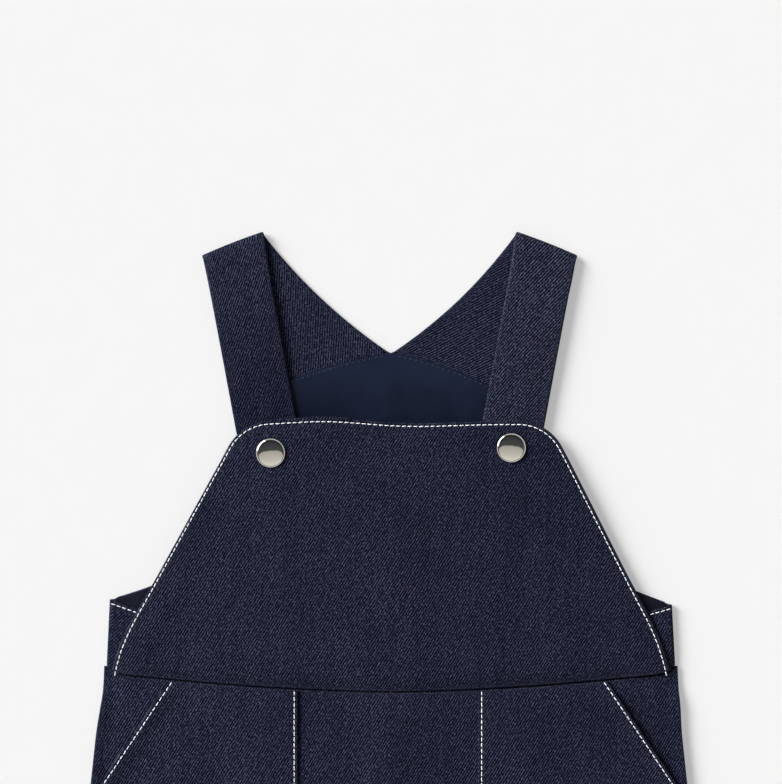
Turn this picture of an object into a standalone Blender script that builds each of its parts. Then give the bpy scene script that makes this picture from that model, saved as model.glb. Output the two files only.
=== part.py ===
"""Child's denim overalls laid flat on their back, face up.

X runs across the garment, Y up the body and Z off the floor. The origin lies on the floor
under the middle of the garment. Every piece of cloth is a thin wall worked out from its
middle surface, and each one lies on the piece below it. Sizes are in metres.
"""

import math

import bpy
import numpy as np

# Cloth walls and the clearance between pieces
CLOTH = 0.0011
LINING = 0.0010
DOUBLED = 0.0018
GAP = 0.0003
HALF_GAP = GAP / 2
EDGE_DENSITY = 1.7

# Heights along the body
SHOULDER_Y = 0.3200
WAIST_Y = 0.0942
BACK_WAIST_Y = 0.1095
CROTCH_Y = -0.0850
HEM_Y = -0.3200

# Waist seam: it rises from the middle to the sides and turns up at the side folds
WAIST_RISE = 0.015
WAIST_BEND = 0.39
WAIST_TURN_X = 0.1300
WAIST_TURN = 0.0033
TROUSER_TOP_HALF = 0.1408

# Bib
BIB_TOP_Y = 0.2276
BIB_TOP_HALF = 0.0750
BIB_FLARE = math.radians(28)
BIB_CORNER = 0.0240
BIB_SPREAD = 0.0005
BIB_CURVE_Y = 0.1310
BIB_CURVE = 5.6
BIB_FOOT_HALF = 0.1370
BIB_EDGE_LIFT = 0.0008
BIB_RIPPLES = (
    # middle of the ripple, its height
    (-0.035, 0.0017),
    (0.011, -0.0008),
)
BIB_RIPPLE_WIDTH = 0.024
BIB_LEAN = 0.0215
BIB_LEAN_FROM = 0.1130
BIB_LEAN_TO = 0.2080

# Side pieces: their fold, their top edge and how far they run under the bib
SIDE_TOP_Y = 0.1388
SIDE_TOP_HALF = 0.1380
SIDE_FOOT_HALF = 0.1396
SIDE_SEAM_X = 0.1050
SIDE_FRONT_SLOPE = 0.32
SIDE_ASKEW = 0.0013
SIDE_UNDER_BIB = 0.009
SIDE_LOW = 0.0016
SIDE_HIGH = 0.0027

# Armhole of the back, from the side fold up to the strap
ARMHOLE_TOP_X = 0.0650
ARMHOLE_POWER = 4.4

# Seam between the back and the straps: a shallow peak at the neck
NECK_Y = 0.2610
NECK_FALL = 0.19
NECK_BEND = 2.4
NECK_SKEW = 0.66

# Straps
FOLD_INNER = (0.0622, 0.3200)
FOLD_OUTER = (0.0918, 0.3090)
FOLD_FLARE = 0.0005
FOLD_BULGE = 0.0004
STRAP_SHIFT = -0.0006
STRAP_NARROWING = 0.0009
STRAP_LEAN = math.radians(10.5)
STRAP_END_Y = 0.1970
STRAP_FOLD_HEIGHT = 0.0027
STRAP_ARCH = 0.0003
STRAP_UNDER_BIB = 0.0027
NECKLINE_SAG = 0.0036
ARMHOLE_SAG = 0.0040

# Trousers: half widths of the silhouette below the waist, and the legs
SILHOUETTE = (
    # height, half width
    (0.1063, 0.1408),
    (0.0948, 0.1413),
    (0.0860, 0.1424),
    (0.0503, 0.1462),
    (0.0100, 0.1501),
    (-0.0450, 0.1529),
    (-0.1300, 0.1534),
    (-0.3200, 0.1500),
)
TROUSER_SWAY = -0.00095
LEG_GAP_HALF = 0.0295
LEG_SPREAD_POWER = 0.80
HEM_RISE = 0.0065
HOLLOW = 0.0012
SIDE_SEAM_RISE = 0.0018

# Pockets
POCKET_INNER_X = 0.0442
POCKET_MOUTH_X = 0.1080
POCKET_MOUTH_Y = 0.0995
POCKET_SLANT = 0.67
POCKET_BOTTOM_Y = -0.0350
POCKET_CORNER = 0.012
POCKET_SHIFT = -0.0014
POCKET_LIFT = 0.0005
POCKET_GAPE = 0.0015

# Snap caps
BUTTON_X = 0.0588
LEFT_BUTTON_Y = 0.2120
RIGHT_BUTTON_Y = 0.2145
BUTTON_RADIUS = 0.0075
BUTTON_HEIGHT = 0.0021
BUTTON_SIDES = 28

# Largest folds of the trouser fronts, as ridges (up) and troughs (down)
FOLDS = (
    # from x, from y, to x, to y, half width, height
    (-0.002, 0.090, -0.003, -0.070, 0.0090, 0.0008),
    (0.038, 0.088, 0.037, -0.060, 0.0180, -0.0007),
    (0.012, -0.070, 0.066, -0.052, 0.0090, 0.0010),
    (-0.012, -0.072, -0.070, -0.046, 0.0090, 0.0009),
    (0.020, -0.100, 0.082, -0.128, 0.0100, 0.0009),
    (-0.022, -0.104, -0.078, -0.140, 0.0100, 0.0010),
    (0.100, -0.120, 0.112, -0.292, 0.0130, 0.0011),
    (-0.096, -0.110, -0.116, -0.280, 0.0130, 0.0011),
    (0.064, -0.190, 0.058, -0.312, 0.0110, 0.0008),
    (-0.062, -0.205, -0.066, -0.314, 0.0110, 0.0009),
)


def ease(value):
    """0 below 0, 1 above 1, and a smooth step between."""
    value = np.clip(value, 0.0, 1.0)
    return value * value * (3 - 2 * value)


# Outlines, seen from above


def waist_y(x):
    """Height of the front waist seam."""
    x = np.abs(x)
    turn = np.clip((x - WAIST_TURN_X) / (TROUSER_TOP_HALF - WAIST_TURN_X), 0, 1)
    return WAIST_Y + WAIST_RISE * x + WAIST_BEND * x**2 + WAIST_TURN * turn**2


def back_waist_y(x):
    """Height of the back waist seam, which meets the front one at the side folds."""
    fall = BACK_WAIST_Y - waist_y(TROUSER_TOP_HALF)
    return BACK_WAIST_Y - fall * (x / TROUSER_TOP_HALF) ** 2


def neck_seam_y(x):
    """Height of the seam where the straps are sewn to the back."""
    return NECK_Y - NECK_FALL * np.abs(x) - NECK_BEND * x**2


def bib_top_y(x):
    """Top edge of the bib, which ripples a little."""
    rise = 0.0
    for middle, height in BIB_RIPPLES:
        rise = rise + height * np.exp(-(((x - middle) / BIB_RIPPLE_WIDTH) ** 2))
    return BIB_TOP_Y + rise


def bib_half(y):
    """Half width of the bib, below its round corners."""
    straight = BIB_TOP_HALF + math.tan(BIB_FLARE) * (BIB_TOP_Y - y)
    spread = BIB_SPREAD * ease((0.152 - y) / 0.022)
    return straight + spread - BIB_CURVE * np.clip(BIB_CURVE_Y - y, 0, None) ** 2


def bib_lean(y):
    """How far the middle of the bib has moved to the right, as it lies a little askew."""
    return BIB_LEAN * (np.clip(y, BIB_LEAN_FROM, BIB_LEAN_TO) - BIB_LEAN_FROM)


def neck_skew(x):
    """How much lower the neck seam lies at a place on the right, or higher on the left."""
    return NECK_SKEW * x * np.minimum(np.abs(x), ARMHOLE_TOP_X)


def askew(x, y):
    """The back lies a little higher on the left, at its sides and at the neck."""
    at_side = SIDE_ASKEW * np.sign(x) * (x / SIDE_TOP_HALF) ** 4 * ease((y - 0.108) / 0.026)
    return y - at_side - neck_skew(x) * ease((y - 0.150) / 0.075)


def armhole_x(y):
    """Armhole edge of the back, from the strap out to the side fold."""
    top_y = neck_seam_y(ARMHOLE_TOP_X)
    share = np.clip((top_y - y) / (top_y - SIDE_TOP_Y), 0, 1)
    return ARMHOLE_TOP_X + (SIDE_TOP_HALF - ARMHOLE_TOP_X) * share**ARMHOLE_POWER


def armhole_y(x):
    """The same edge, read the other way."""
    top_y = neck_seam_y(ARMHOLE_TOP_X)
    share = np.clip((x - ARMHOLE_TOP_X) / (SIDE_TOP_HALF - ARMHOLE_TOP_X), 0, 1)
    return top_y - (top_y - SIDE_TOP_Y) * share ** (1 / ARMHOLE_POWER)


def trouser_half(y, side=0):
    """Distance of the trousers' edge from the middle. Below the waist they lie a little
    further to the left, so it is not the same on both sides."""
    heights, halves = zip(*SILHOUETTE[::-1])
    sway = TROUSER_SWAY * ease((WAIST_Y - y) / 0.022) * ease((y + 0.050) / 0.080)
    return np.interp(y, heights, halves) + side * sway


def inner_x(y, seam=0.0):
    """The middle above the crotch, less half a seam, and the inner edge of a leg below it."""
    share = np.clip((CROTCH_Y - y) / (CROTCH_Y - HEM_Y), 0, 1)
    return seam + (LEG_GAP_HALF - seam) * share**LEG_SPREAD_POWER


def pocket_mouth_x(y, side):
    """Slanted edge of the pocket's opening."""
    return POCKET_MOUTH_X + side * POCKET_SHIFT + POCKET_SLANT * (POCKET_MOUTH_Y - y)


# Heights off the floor of the undersides of the raised pieces


def folds(x, y):
    """Sum of the soft ridges and troughs at a place."""
    total = np.zeros_like(x)
    for x0, y0, x1, y1, half_width, height in FOLDS:
        length = math.hypot(x1 - x0, y1 - y0)
        along = ((x - x0) * (x1 - x0) + (y - y0) * (y1 - y0)) / length
        across = ((x - x0) * (y1 - y0) - (y - y0) * (x1 - x0)) / length
        taper = ease(along / 0.03 + 0.5) * ease((length - along) / 0.03 + 0.5)
        total += height * taper * np.exp(-((across / half_width) ** 2))
    return total


def seam_rise(x, y):
    """The side seams stand a little off the floor, as the seam inside them is thick."""
    from_side = trouser_half(y, np.sign(x)) - np.abs(x)
    below_waist = waist_y(x) - y
    return SIDE_SEAM_RISE * (1 - ease(from_side / 0.009)) * ease((below_waist - 0.006) / 0.014)


def front_height(x, y):
    """Underside of the trouser front, low at its seams and hollow between."""
    from_side = trouser_half(y, np.sign(x)) - np.abs(x)
    from_inseam = np.abs(x) - inner_x(y) + np.clip(y - CROTCH_Y, 0, None)
    from_waist = waist_y(x) - y
    loft = ease(from_side / 0.012) * ease(from_inseam / 0.012) * ease(from_waist / 0.010)
    return CLOTH + GAP + seam_rise(x, y) + loft * (HOLLOW + folds(x, y))


def side_height(y):
    """Underside of the side pieces where they lie on the front."""
    return SIDE_LOW + (SIDE_HIGH - SIDE_LOW) * ease((y - 0.104) / 0.012)


def bib_height(x, y):
    """Underside of the bib: over the lining, the side pieces and the strap ends."""
    seam = CLOTH + GAP
    lining_top = CLOTH + LINING + 2 * GAP
    rise = (lining_top + GAP - seam) * ease((y - waist_y(x)) / 0.008)
    middle = 0.0003 * ease((y - 0.110) / 0.030)
    over_straps = (DOUBLED + GAP - 0.0003) * ease((y - 0.165) / 0.030)
    dip = -0.0005 * ease((y - 0.190) / 0.030) * np.exp(-((x / 0.030) ** 2))
    free_edge = ease((np.abs(x) - bib_half(y) + 0.020) / 0.020)
    lift = BIB_EDGE_LIFT * free_edge * np.exp(-(((y - 0.165) / 0.022) ** 2))
    base = seam + rise + middle + over_straps + dip + lift
    over_side = ease((np.abs(x) - bib_half(y) + 0.024) / 0.012) * (1 - ease((y - 0.140) / 0.025))
    lifted = side_height(y) + CLOTH + GAP
    return base + over_side * np.clip(lifted - base, 0, None)


def strap_height(y):
    """Underside of the front of a strap, from under the bib up to the shoulder."""
    above_bib = ease((y - BIB_TOP_Y) / 0.030)
    level = STRAP_UNDER_BIB + (STRAP_FOLD_HEIGHT - STRAP_UNDER_BIB) * above_bib
    middle = (BIB_TOP_Y + SHOULDER_Y) / 2 + 0.004
    return level + STRAP_ARCH * above_bib * np.exp(-(((y - middle) / 0.026) ** 2))


# Making solids


def clear_scene():
    for item in list(bpy.data.objects):
        bpy.data.objects.remove(item, do_unlink=True)


def make_material(name, colour, roughness, metallic):
    material = bpy.data.materials.new(name)
    material.use_nodes = True
    shader = material.node_tree.nodes["Principled BSDF"]
    shader.inputs["Base Color"].default_value = (*colour, 1.0)
    shader.inputs["Roughness"].default_value = roughness
    shader.inputs["Metallic"].default_value = metallic
    return material


def add_object(name, points, faces, material):
    mesh = bpy.data.meshes.new(name)
    mesh.from_pydata([tuple(p) for p in points], [], faces)
    mesh.materials.append(material)
    item = bpy.data.objects.new(name, mesh)
    bpy.context.scene.collection.objects.link(item)
    return item


def shade(mesh):
    mesh.shade_smooth()
    mesh.set_sharp_from_angle(angle=math.radians(35))


def cloth_solid(name, grids, wall, material):
    """A closed wall of cloth around one or more grids of middle points, rows by columns.
    Grids that share points are one piece."""
    points, faces = [], []
    for grid in grids:
        rows, columns = grid.shape[:2]
        start = len(points)
        points.extend(grid.reshape(-1, 3))
        for i in range(rows - 1):
            for j in range(columns - 1):
                a = start + i * columns + j
                faces.append((a, a + 1, a + 1 + columns, a + columns))
    item = add_object(name, points, faces, material)
    weld = item.modifiers.new("weld", "WELD")
    weld.merge_threshold = 0.00001
    solidify = item.modifiers.new("wall", "SOLIDIFY")
    solidify.thickness = wall
    solidify.offset = 0
    solidify.use_even_offset = True
    graph = bpy.context.evaluated_depsgraph_get()
    walled = bpy.data.meshes.new_from_object(item.evaluated_get(graph))
    item.modifiers.clear()
    item.data = walled
    walled.name = name
    shade(walled)
    return item


def to_one_edge(columns):
    """Shares of a row's width, closer together towards its outer edge."""
    return 1 - (1 - np.linspace(0, 1, columns)) ** EDGE_DENSITY


def to_both_edges(columns):
    """Shares of a row's width, closer together towards both its edges."""
    run = np.linspace(-1, 1, columns)
    return 0.5 + 0.5 * np.sign(run) * (1 - (1 - np.abs(run)) ** EDGE_DENSITY)


def sheet_grid(rows, share, foot, head):
    """Plan of a panel. Each row runs from one edge point to the other and bends from the
    curve at the panel's foot to the one at its head."""
    plan = np.zeros((len(rows), len(share), 2))
    for i, (x0, y0, x1, y1, headward) in enumerate(rows):
        x = x0 + (x1 - x0) * share
        y = y0 + (y1 - y0) * share
        for curve, weight in ((foot, 1 - headward), (head, headward)):
            chord = curve(x0) + (curve(x1) - curve(x0)) * share
            y = y + weight * (curve(x) - chord)
        plan[i] = np.stack([x, y], axis=1)
    return plan


def raised(plan, underside, wall):
    """Middle points of a panel whose underside is at the given height."""
    return np.dstack([plan, underside + np.full(plan.shape[:2], wall / 2)])


def mirrored(grid, side):
    """The grid itself on the +X side, and its mirror image on the other."""
    if side > 0:
        return grid
    grid = grid[:, ::-1].copy()
    grid[..., 0] *= -1
    return grid


def level(x):
    """A straight edge, for sheet_grid."""
    return np.zeros_like(np.asarray(x, float))


# The pieces


def bib_plan():
    rows = []
    straight_top = BIB_TOP_Y - BIB_CORNER * (1 - math.sin(BIB_FLARE))
    foot_y = waist_y(BIB_FOOT_HALF) + HALF_GAP
    for y in np.linspace(foot_y, straight_top, 17):
        rows.append((bib_half(y) if y > foot_y else BIB_FOOT_HALF, y))
    centre_x = bib_half(straight_top) - BIB_CORNER * math.cos(BIB_FLARE)
    for angle in np.linspace(BIB_FLARE, math.pi / 2, 7)[1:]:
        y = BIB_TOP_Y - BIB_CORNER * (1 - math.sin(angle))
        rows.append((centre_x + BIB_CORNER * math.cos(angle), y))
    last = len(rows) - 1
    edges = [(-half, y, half, y, i / last) for i, (half, y) in enumerate(rows)]
    return sheet_grid(edges, to_both_edges(27), waist_y, bib_top_y)


def make_bib(material):
    plan = bib_plan()
    height = bib_height(plan[..., 0], plan[..., 1])
    plan[..., 0] += bib_lean(plan[..., 1])
    cloth_solid("bib", [raised(plan, height, DOUBLED)], DOUBLED, material)


def make_back_bodice(material):
    corner_y = armhole_y(SIDE_SEAM_X)
    foot_y = back_waist_y(SIDE_SEAM_X) + HALF_GAP
    top_y = neck_seam_y(ARMHOLE_TOP_X) - HALF_GAP
    heights = [*np.linspace(foot_y, corner_y, 5), *np.linspace(corner_y, top_y, 13)[1:]]
    rows = []
    for i, y in enumerate(heights):
        half = min(SIDE_SEAM_X - HALF_GAP, armhole_x(y))
        rows.append((-half, y, half, y, i / (len(heights) - 1)))
    plan = sheet_grid(rows, to_both_edges(15), back_waist_y, neck_seam_y)
    plan[..., 1] = askew(plan[..., 0], plan[..., 1])
    cloth_solid("back_bodice", [raised(plan, 0.0, CLOTH)], CLOTH, material)


def make_lining(material):
    """It covers the inside of the back, just inside its armhole edges."""
    margin = 0.0012
    reach = 0.1345

    def foot(x):
        return 0.1110 + 0.0065 * (x / reach) ** 2

    side_y = armhole_y(reach + margin)
    top_y = neck_seam_y(ARMHOLE_TOP_X - margin) - HALF_GAP
    heights = [foot(reach), *np.linspace(side_y, 0.155, 5), *np.linspace(0.155, top_y, 11)[1:]]
    rows = []
    for i, y in enumerate(heights):
        half = min(reach, armhole_x(y) - margin)
        rows.append((-half, y, half, y, i / (len(heights) - 1)))
    plan = sheet_grid(rows, to_both_edges(19), foot, neck_seam_y)
    plan[..., 1] = askew(plan[..., 0], plan[..., 1])
    cloth_solid("back_lining", [raised(plan, CLOTH + GAP, LINING)], LINING, material)


def make_side(name, side, material):
    """A side piece runs from its seam on the back, round the fold, to under the bib."""
    turns = 7
    rows = []
    for share in np.linspace(0, 1, 9):
        fold_x = SIDE_FOOT_HALF + (SIDE_TOP_HALF - SIDE_FOOT_HALF) * share
        fold_y = waist_y(TROUSER_TOP_HALF) + (SIDE_TOP_Y - waist_y(TROUSER_TOP_HALF)) * share
        radius = side_height(fold_y) / 2
        centre_x = fold_x - radius - CLOTH / 2
        row = []
        for x in np.linspace(SIDE_SEAM_X + HALF_GAP, centre_x, 7)[:-1]:
            y = back_waist_y(x) + HALF_GAP
            row.append((x, y + (armhole_y(x) - y) * share, CLOTH / 2))
        for angle in np.linspace(-math.pi / 2, math.pi / 2, turns):
            x = centre_x + radius * math.cos(angle)
            row.append((x, fold_y, CLOTH / 2 + radius * (1 + math.sin(angle))))
        bib_edge = bib_half(fold_y - 0.003)
        for x in np.linspace(centre_x, bib_edge - SIDE_UNDER_BIB, 6)[1:]:
            foot_y = waist_y(x) + HALF_GAP
            top_y = SIDE_TOP_Y - SIDE_FRONT_SLOPE * (SIDE_TOP_HALF - x)
            y = foot_y + (top_y - foot_y) * share
            row.append((x, y, side_height(y) + CLOTH / 2))
        rows.append(row)
    middle = mirrored(np.array(rows), side)
    middle[..., 1] = askew(middle[..., 0], middle[..., 1])
    cloth_solid(name, [middle], CLOTH, material)


def strap_rows(side):
    """Middle points of a strap, drawn on the +X side, from its end under the bib, over the
    shoulder fold, to its seam on the back."""
    columns = 9
    share = np.linspace(0, 1, columns)[:, None]
    bulge = FOLD_BULGE * 4 * share * (1 - share)
    shift = np.array([side * STRAP_SHIFT, 0.0])
    inner, outer = FOLD_INNER + shift, FOLD_OUTER + shift
    fold = (outer - inner) / np.linalg.norm(outer - inner)
    away = np.array([-fold[1], fold[0]])
    radius = STRAP_FOLD_HEIGHT / 2
    inner, outer = inner - away * (radius + DOUBLED / 2), outer - away * (radius + DOUBLED / 2)
    down = np.array([-math.sin(STRAP_LEAN), -math.cos(STRAP_LEAN)])
    rows = []
    for run in np.linspace(1, 0, 15)[:-1]:
        ends = []
        for corner in (inner, outer):
            length = (corner[1] - STRAP_END_Y) / math.cos(STRAP_LEAN)
            ends.append(corner + down * length * run)
        ends[0] = ends[0] + fold * STRAP_NARROWING * (1 - (1 - run) ** 12)
        ends[1] = ends[1] + fold * FOLD_FLARE * (1 - run) ** 8
        plan = ends[0] + (ends[1] - ends[0]) * share + away * bulge * (1 - run) ** 4
        height = strap_height(plan[:, 1]) + DOUBLED / 2
        rows.append(np.column_stack([plan, height]))
    outer = outer + fold * FOLD_FLARE
    base = inner + (outer - inner) * share + away * bulge
    for angle in np.linspace(math.pi / 2, -math.pi / 2, 9):
        plan = base + away * radius * math.cos(angle)
        height = np.full(columns, DOUBLED / 2 + radius * (1 + math.sin(angle)))
        rows.append(np.column_stack([plan, height]))
    neck = np.array([HALF_GAP, neck_seam_y(0.0) + HALF_GAP])
    arm = np.array([ARMHOLE_TOP_X, neck_seam_y(ARMHOLE_TOP_X) + HALF_GAP])
    for run in np.linspace(0, 1, 13)[1:]:
        ends = []
        for start, end, sag in ((inner, neck, NECKLINE_SAG), (outer, arm, ARMHOLE_SAG)):
            chord = end - start
            beside = np.array([chord[1], -chord[0]]) / np.linalg.norm(chord)
            ends.append(start + chord * run - beside * sag * 4 * run * (1 - run))
        plan = ends[0] + (ends[1] - ends[0]) * share + away * bulge * (1 - run) ** 4
        x = plan[:, 0]
        chord = neck_seam_y(x[0]) + (neck_seam_y(x[-1]) - neck_seam_y(x[0])) * share[:, 0]
        plan[:, 1] += run**2 * (neck_seam_y(x) - chord - side * neck_skew(x))
        rows.append(np.column_stack([plan, np.full(columns, DOUBLED / 2)]))
    return np.array(rows)


def make_strap(name, side, material):
    cloth_solid(name, [mirrored(strap_rows(side), side)], DOUBLED, material)


def leg_plan(top, side, seam, rows_below, columns):
    """Plan of half of the trousers, from the hem up to the waist seam."""
    rows = []
    outer_top = top(TROUSER_TOP_HALF) - HALF_GAP
    inner_top = top(0.0) - HALF_GAP
    for share in np.linspace(0, 1, rows_below):
        y_in = HEM_Y + (CROTCH_Y - HEM_Y) * share
        y_out = HEM_Y + HEM_RISE + (CROTCH_Y - HEM_Y - HEM_RISE) * share
        rows.append((inner_x(y_in, seam), y_in, trouser_half(y_out, side), y_out, 0.0))
    for share in np.linspace(0, 1, 17)[1:]:
        y_in = CROTCH_Y + (inner_top - CROTCH_Y) * share
        y_out = CROTCH_Y + (outer_top - CROTCH_Y) * share
        rows.append((seam, y_in, trouser_half(y_out, side), y_out, share))
    return mirrored(sheet_grid(rows, to_one_edge(columns), level, top), side)


def make_front(material):
    """The trouser front, in one piece from side to side."""
    halves = []
    for side in (-1, 1):
        plan = leg_plan(waist_y, side, 0.0, 15, 17)
        height = front_height(plan[..., 0], plan[..., 1])
        halves.append(raised(plan, height, CLOTH))
    cloth_solid("trouser_front", halves, CLOTH, material)


def make_back(name, side, material):
    plan = leg_plan(back_waist_y, side, HALF_GAP, 9, 9)
    height = seam_rise(plan[..., 0], plan[..., 1])
    cloth_solid(name, [raised(plan, height, CLOTH)], CLOTH, material)


def make_pocket(name, side, material):
    """A patch sewn on the front, caught in the waist seam and the side seam."""
    corner_y = POCKET_MOUTH_Y
    while pocket_mouth_x(corner_y, side) < trouser_half(corner_y, side):
        corner_y -= 0.0001
    inner_edge = POCKET_INNER_X + side * POCKET_SHIFT
    mouth_top_x = POCKET_MOUTH_X + side * POCKET_SHIFT
    rows = []
    for y in [*(POCKET_BOTTOM_Y + POCKET_CORNER * np.array([0, 0.15, 0.5, 1.0])),
              *np.linspace(POCKET_BOTTOM_Y + POCKET_CORNER, corner_y, 7)[1:]]:
        left = max(0.0, POCKET_CORNER - (y - POCKET_BOTTOM_Y))
        x_in = inner_edge + POCKET_CORNER - math.sqrt(POCKET_CORNER**2 - left**2)
        rows.append((x_in, y, trouser_half(y, side), y, 0.0))
    top_in = waist_y(inner_edge) - HALF_GAP
    top_out = waist_y(mouth_top_x) - HALF_GAP
    for share in np.linspace(0, 1, 8)[1:]:
        y_in = corner_y + (top_in - corner_y) * share
        y_out = corner_y + (top_out - corner_y) * share
        rows.append((inner_edge, y_in, pocket_mouth_x(y_out, side), y_out, share))
    plan = mirrored(sheet_grid(rows, to_one_edge(13), level, waist_y), side)
    x, y = plan[..., 0], plan[..., 1]
    from_mouth = pocket_mouth_x(y, side) - np.abs(x)
    along_mouth = ease((y - corner_y) / 0.015) * ease((waist_y(x) - y) / 0.015)
    gape = POCKET_GAPE * along_mouth * (1 - ease(from_mouth / 0.012))
    height = front_height(x, y) + CLOTH + POCKET_LIFT + gape
    cloth_solid(name, [raised(plan, height, CLOTH)], CLOTH, material)


def make_button(name, side, material):
    """A turned snap cap: a shallow dome with a rounded rim."""
    middle_y = RIGHT_BUTTON_Y if side > 0 else LEFT_BUTTON_Y
    on_bib_x = side * BUTTON_X - bib_lean(middle_y)
    base = bib_height(np.array(on_bib_x), np.array(middle_y)) + DOUBLED + GAP
    profile = (
        # share of the radius, share of the height
        (0.96, 0.00),
        (0.993, 0.05),
        (0.973, 0.30),
        (0.913, 0.54),
        (0.88, 0.62),
        (0.827, 0.705),
        (0.733, 0.795),
        (0.533, 0.90),
        (0.267, 0.976),
    )
    points = [(0.0, 0.0, 0.0)]
    for radius, height in profile:
        for i in range(BUTTON_SIDES):
            angle = 2 * math.pi * i / BUTTON_SIDES
            x, y = math.cos(angle) * BUTTON_RADIUS * radius, math.sin(angle) * BUTTON_RADIUS * radius
            points.append((x, y, height * BUTTON_HEIGHT))
    points.append((0.0, 0.0, BUTTON_HEIGHT))
    faces = []
    last = len(points) - 1
    for i in range(BUTTON_SIDES):
        following = (i + 1) % BUTTON_SIDES
        faces.append((0, 1 + following, 1 + i))
        for ring in range(len(profile) - 1):
            a, b = 1 + ring * BUTTON_SIDES + i, 1 + ring * BUTTON_SIDES + following
            faces.append((a, b, b + BUTTON_SIDES, a + BUTTON_SIDES))
        top = last - BUTTON_SIDES
        faces.append((top + i, top + following, last))
    cap = add_object(name, points, faces, material)
    cap.location = (side * BUTTON_X, middle_y, float(base))
    shade(cap.data)


def main():
    clear_scene()
    denim = make_material("denim", (0.018, 0.021, 0.040), 0.85, 0.0)
    lining = make_material("lining", (0.012, 0.016, 0.034), 0.70, 0.0)
    metal = make_material("metal", (0.72, 0.70, 0.66), 0.15, 1.0)
    make_bib(denim)
    make_back_bodice(denim)
    make_lining(lining)
    make_front(denim)
    for label, side in (("left", -1), ("right", 1)):
        make_strap(f"strap_{label}", side, denim)
        make_side(f"side_{label}", side, denim)
        make_back(f"trouser_back_{label}", side, denim)
        make_pocket(f"pocket_{label}", side, denim)
        make_button(f"button_{label}", side, metal)


main()
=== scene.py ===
# %% [markdown]
# # A child's denim overalls, laid flat
#
# The garment lies on its back on a pale table and is seen from straight above. Denim keeps
# its shape when it is laid out, so nothing here is simulated: each panel is a thin wall of
# cloth on a smooth form, with seams, rolled edges and soft creases worked into it. The cells
# below build the outlines first, then the cloth, then the sewing and the metal, and end with
# the table, the light and the camera.

import math

import bpy
import numpy as np
from mathutils.kdtree import KDTree
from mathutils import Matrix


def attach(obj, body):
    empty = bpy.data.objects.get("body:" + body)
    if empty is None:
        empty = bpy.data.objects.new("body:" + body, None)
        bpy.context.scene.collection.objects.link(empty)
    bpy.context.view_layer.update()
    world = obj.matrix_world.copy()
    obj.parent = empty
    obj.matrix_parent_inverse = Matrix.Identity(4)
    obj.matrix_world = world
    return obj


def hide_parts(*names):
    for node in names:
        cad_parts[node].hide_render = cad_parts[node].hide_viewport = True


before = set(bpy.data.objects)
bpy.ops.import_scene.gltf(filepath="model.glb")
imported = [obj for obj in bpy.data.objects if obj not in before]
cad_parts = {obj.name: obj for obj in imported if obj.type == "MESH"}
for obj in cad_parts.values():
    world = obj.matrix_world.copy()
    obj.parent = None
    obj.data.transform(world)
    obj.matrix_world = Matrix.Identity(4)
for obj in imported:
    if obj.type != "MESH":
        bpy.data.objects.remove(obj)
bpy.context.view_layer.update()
MM = 0.001

# %% [markdown]
# ## Sizes
#
# A maker works from a chart of measurements. These are the same ones that the solid part
# uses: walls of cloth, heights along the body, and the places where seams turn. Keeping them
# together makes it plain which edge belongs to which piece.

# %% Walls, gaps and heights
CLOTH = 1.1 * MM
LINING = 1.0 * MM
DOUBLED = 1.8 * MM
GAP = 0.3 * MM
HALF_GAP = GAP / 2
BACK_SEAM_GAP = 0.005 * MM
SHOULDER_Y = 320.0 * MM
WAIST_Y = 94.2 * MM
WAIST_RISE = 0.015
WAIST_BEND = 0.39
WAIST_TURN = 3.3 * MM
WAIST_TURN_X = 130.0 * MM
BACK_WAIST_Y = 109.5 * MM
CROTCH_Y = -85.0 * MM
HEM_Y = -320.0 * MM
HEM_RISE = 6.5 * MM
TROUSER_TOP_HALF = 140.8 * MM
TROUSER_SWAY = -0.95 * MM
LEG_GAP_HALF = 29.5 * MM
SIDE_SEAM_RISE = 1.8 * MM
BIB_TOP_Y = 227.6 * MM
BIB_TOP_HALF = 75.0 * MM
BIB_FLARE = math.radians(28)
BIB_CORNER = 24.0 * MM
BIB_STRAIGHT_TOP = BIB_TOP_Y - BIB_CORNER * (1 - math.sin(BIB_FLARE))
BIB_SPREAD = 0.5 * MM
BIB_CURVE = 5.6
BIB_CURVE_Y = 131.0 * MM
BIB_FOOT_HALF = 137.0 * MM
BIB_FOOT_UP = 0.45 * MM
BIB_LEAN = 0.0215
BIB_LEAN_FROM = 113.0 * MM
BIB_LEAN_TO = 208.0 * MM
SIDE_TOP_Y = 138.8 * MM
SIDE_TOP_HALF = 138.0 * MM
SIDE_FOOT_HALF = 139.6 * MM
SIDE_SEAM_X = 105.0 * MM
SIDE_SLOPE = 0.32
SIDE_ASKEW = 1.3 * MM
SIDE_LOW = 1.6 * MM
SIDE_HIGH = 2.7 * MM
ARMHOLE_TOP_X = 65.0 * MM
ARMHOLE_POWER = 4.4
NECK_Y = 261.0 * MM
NECK_FALL = 0.19
NECK_BEND = 2.4
NECK_SKEW = 0.66
STRAP_FOLD_HEIGHT = 2.7 * MM
STRAP_ARCH = 0.3 * MM
STRAP_END_Y = 197.0 * MM
POCKET_INNER_X = 44.2 * MM
POCKET_MOUTH = (108.0 * MM, 99.5 * MM)
POCKET_SLANT = 0.67
POCKET_BOTTOM_Y = -35.0 * MM
POCKET_CORNER = 12.0 * MM
POCKET_SHIFT = -1.4 * MM
LEFT_AND_RIGHT = (("left", -1), ("right", 1))
print(f"length {(SHOULDER_Y - HEM_Y) / MM:.0f} mm, bib {(BIB_TOP_Y - WAIST_Y) / MM:.0f} mm tall")

# %% [markdown]
# ## Outlines
#
# Every edge is a curve with a name: the waist seam, the top of the bib, its flared side, the
# armhole. A curve is a small function of x or y, so two panels that meet can ask for the same
# curve and always fit, with the seam's clearance between them.


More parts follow.
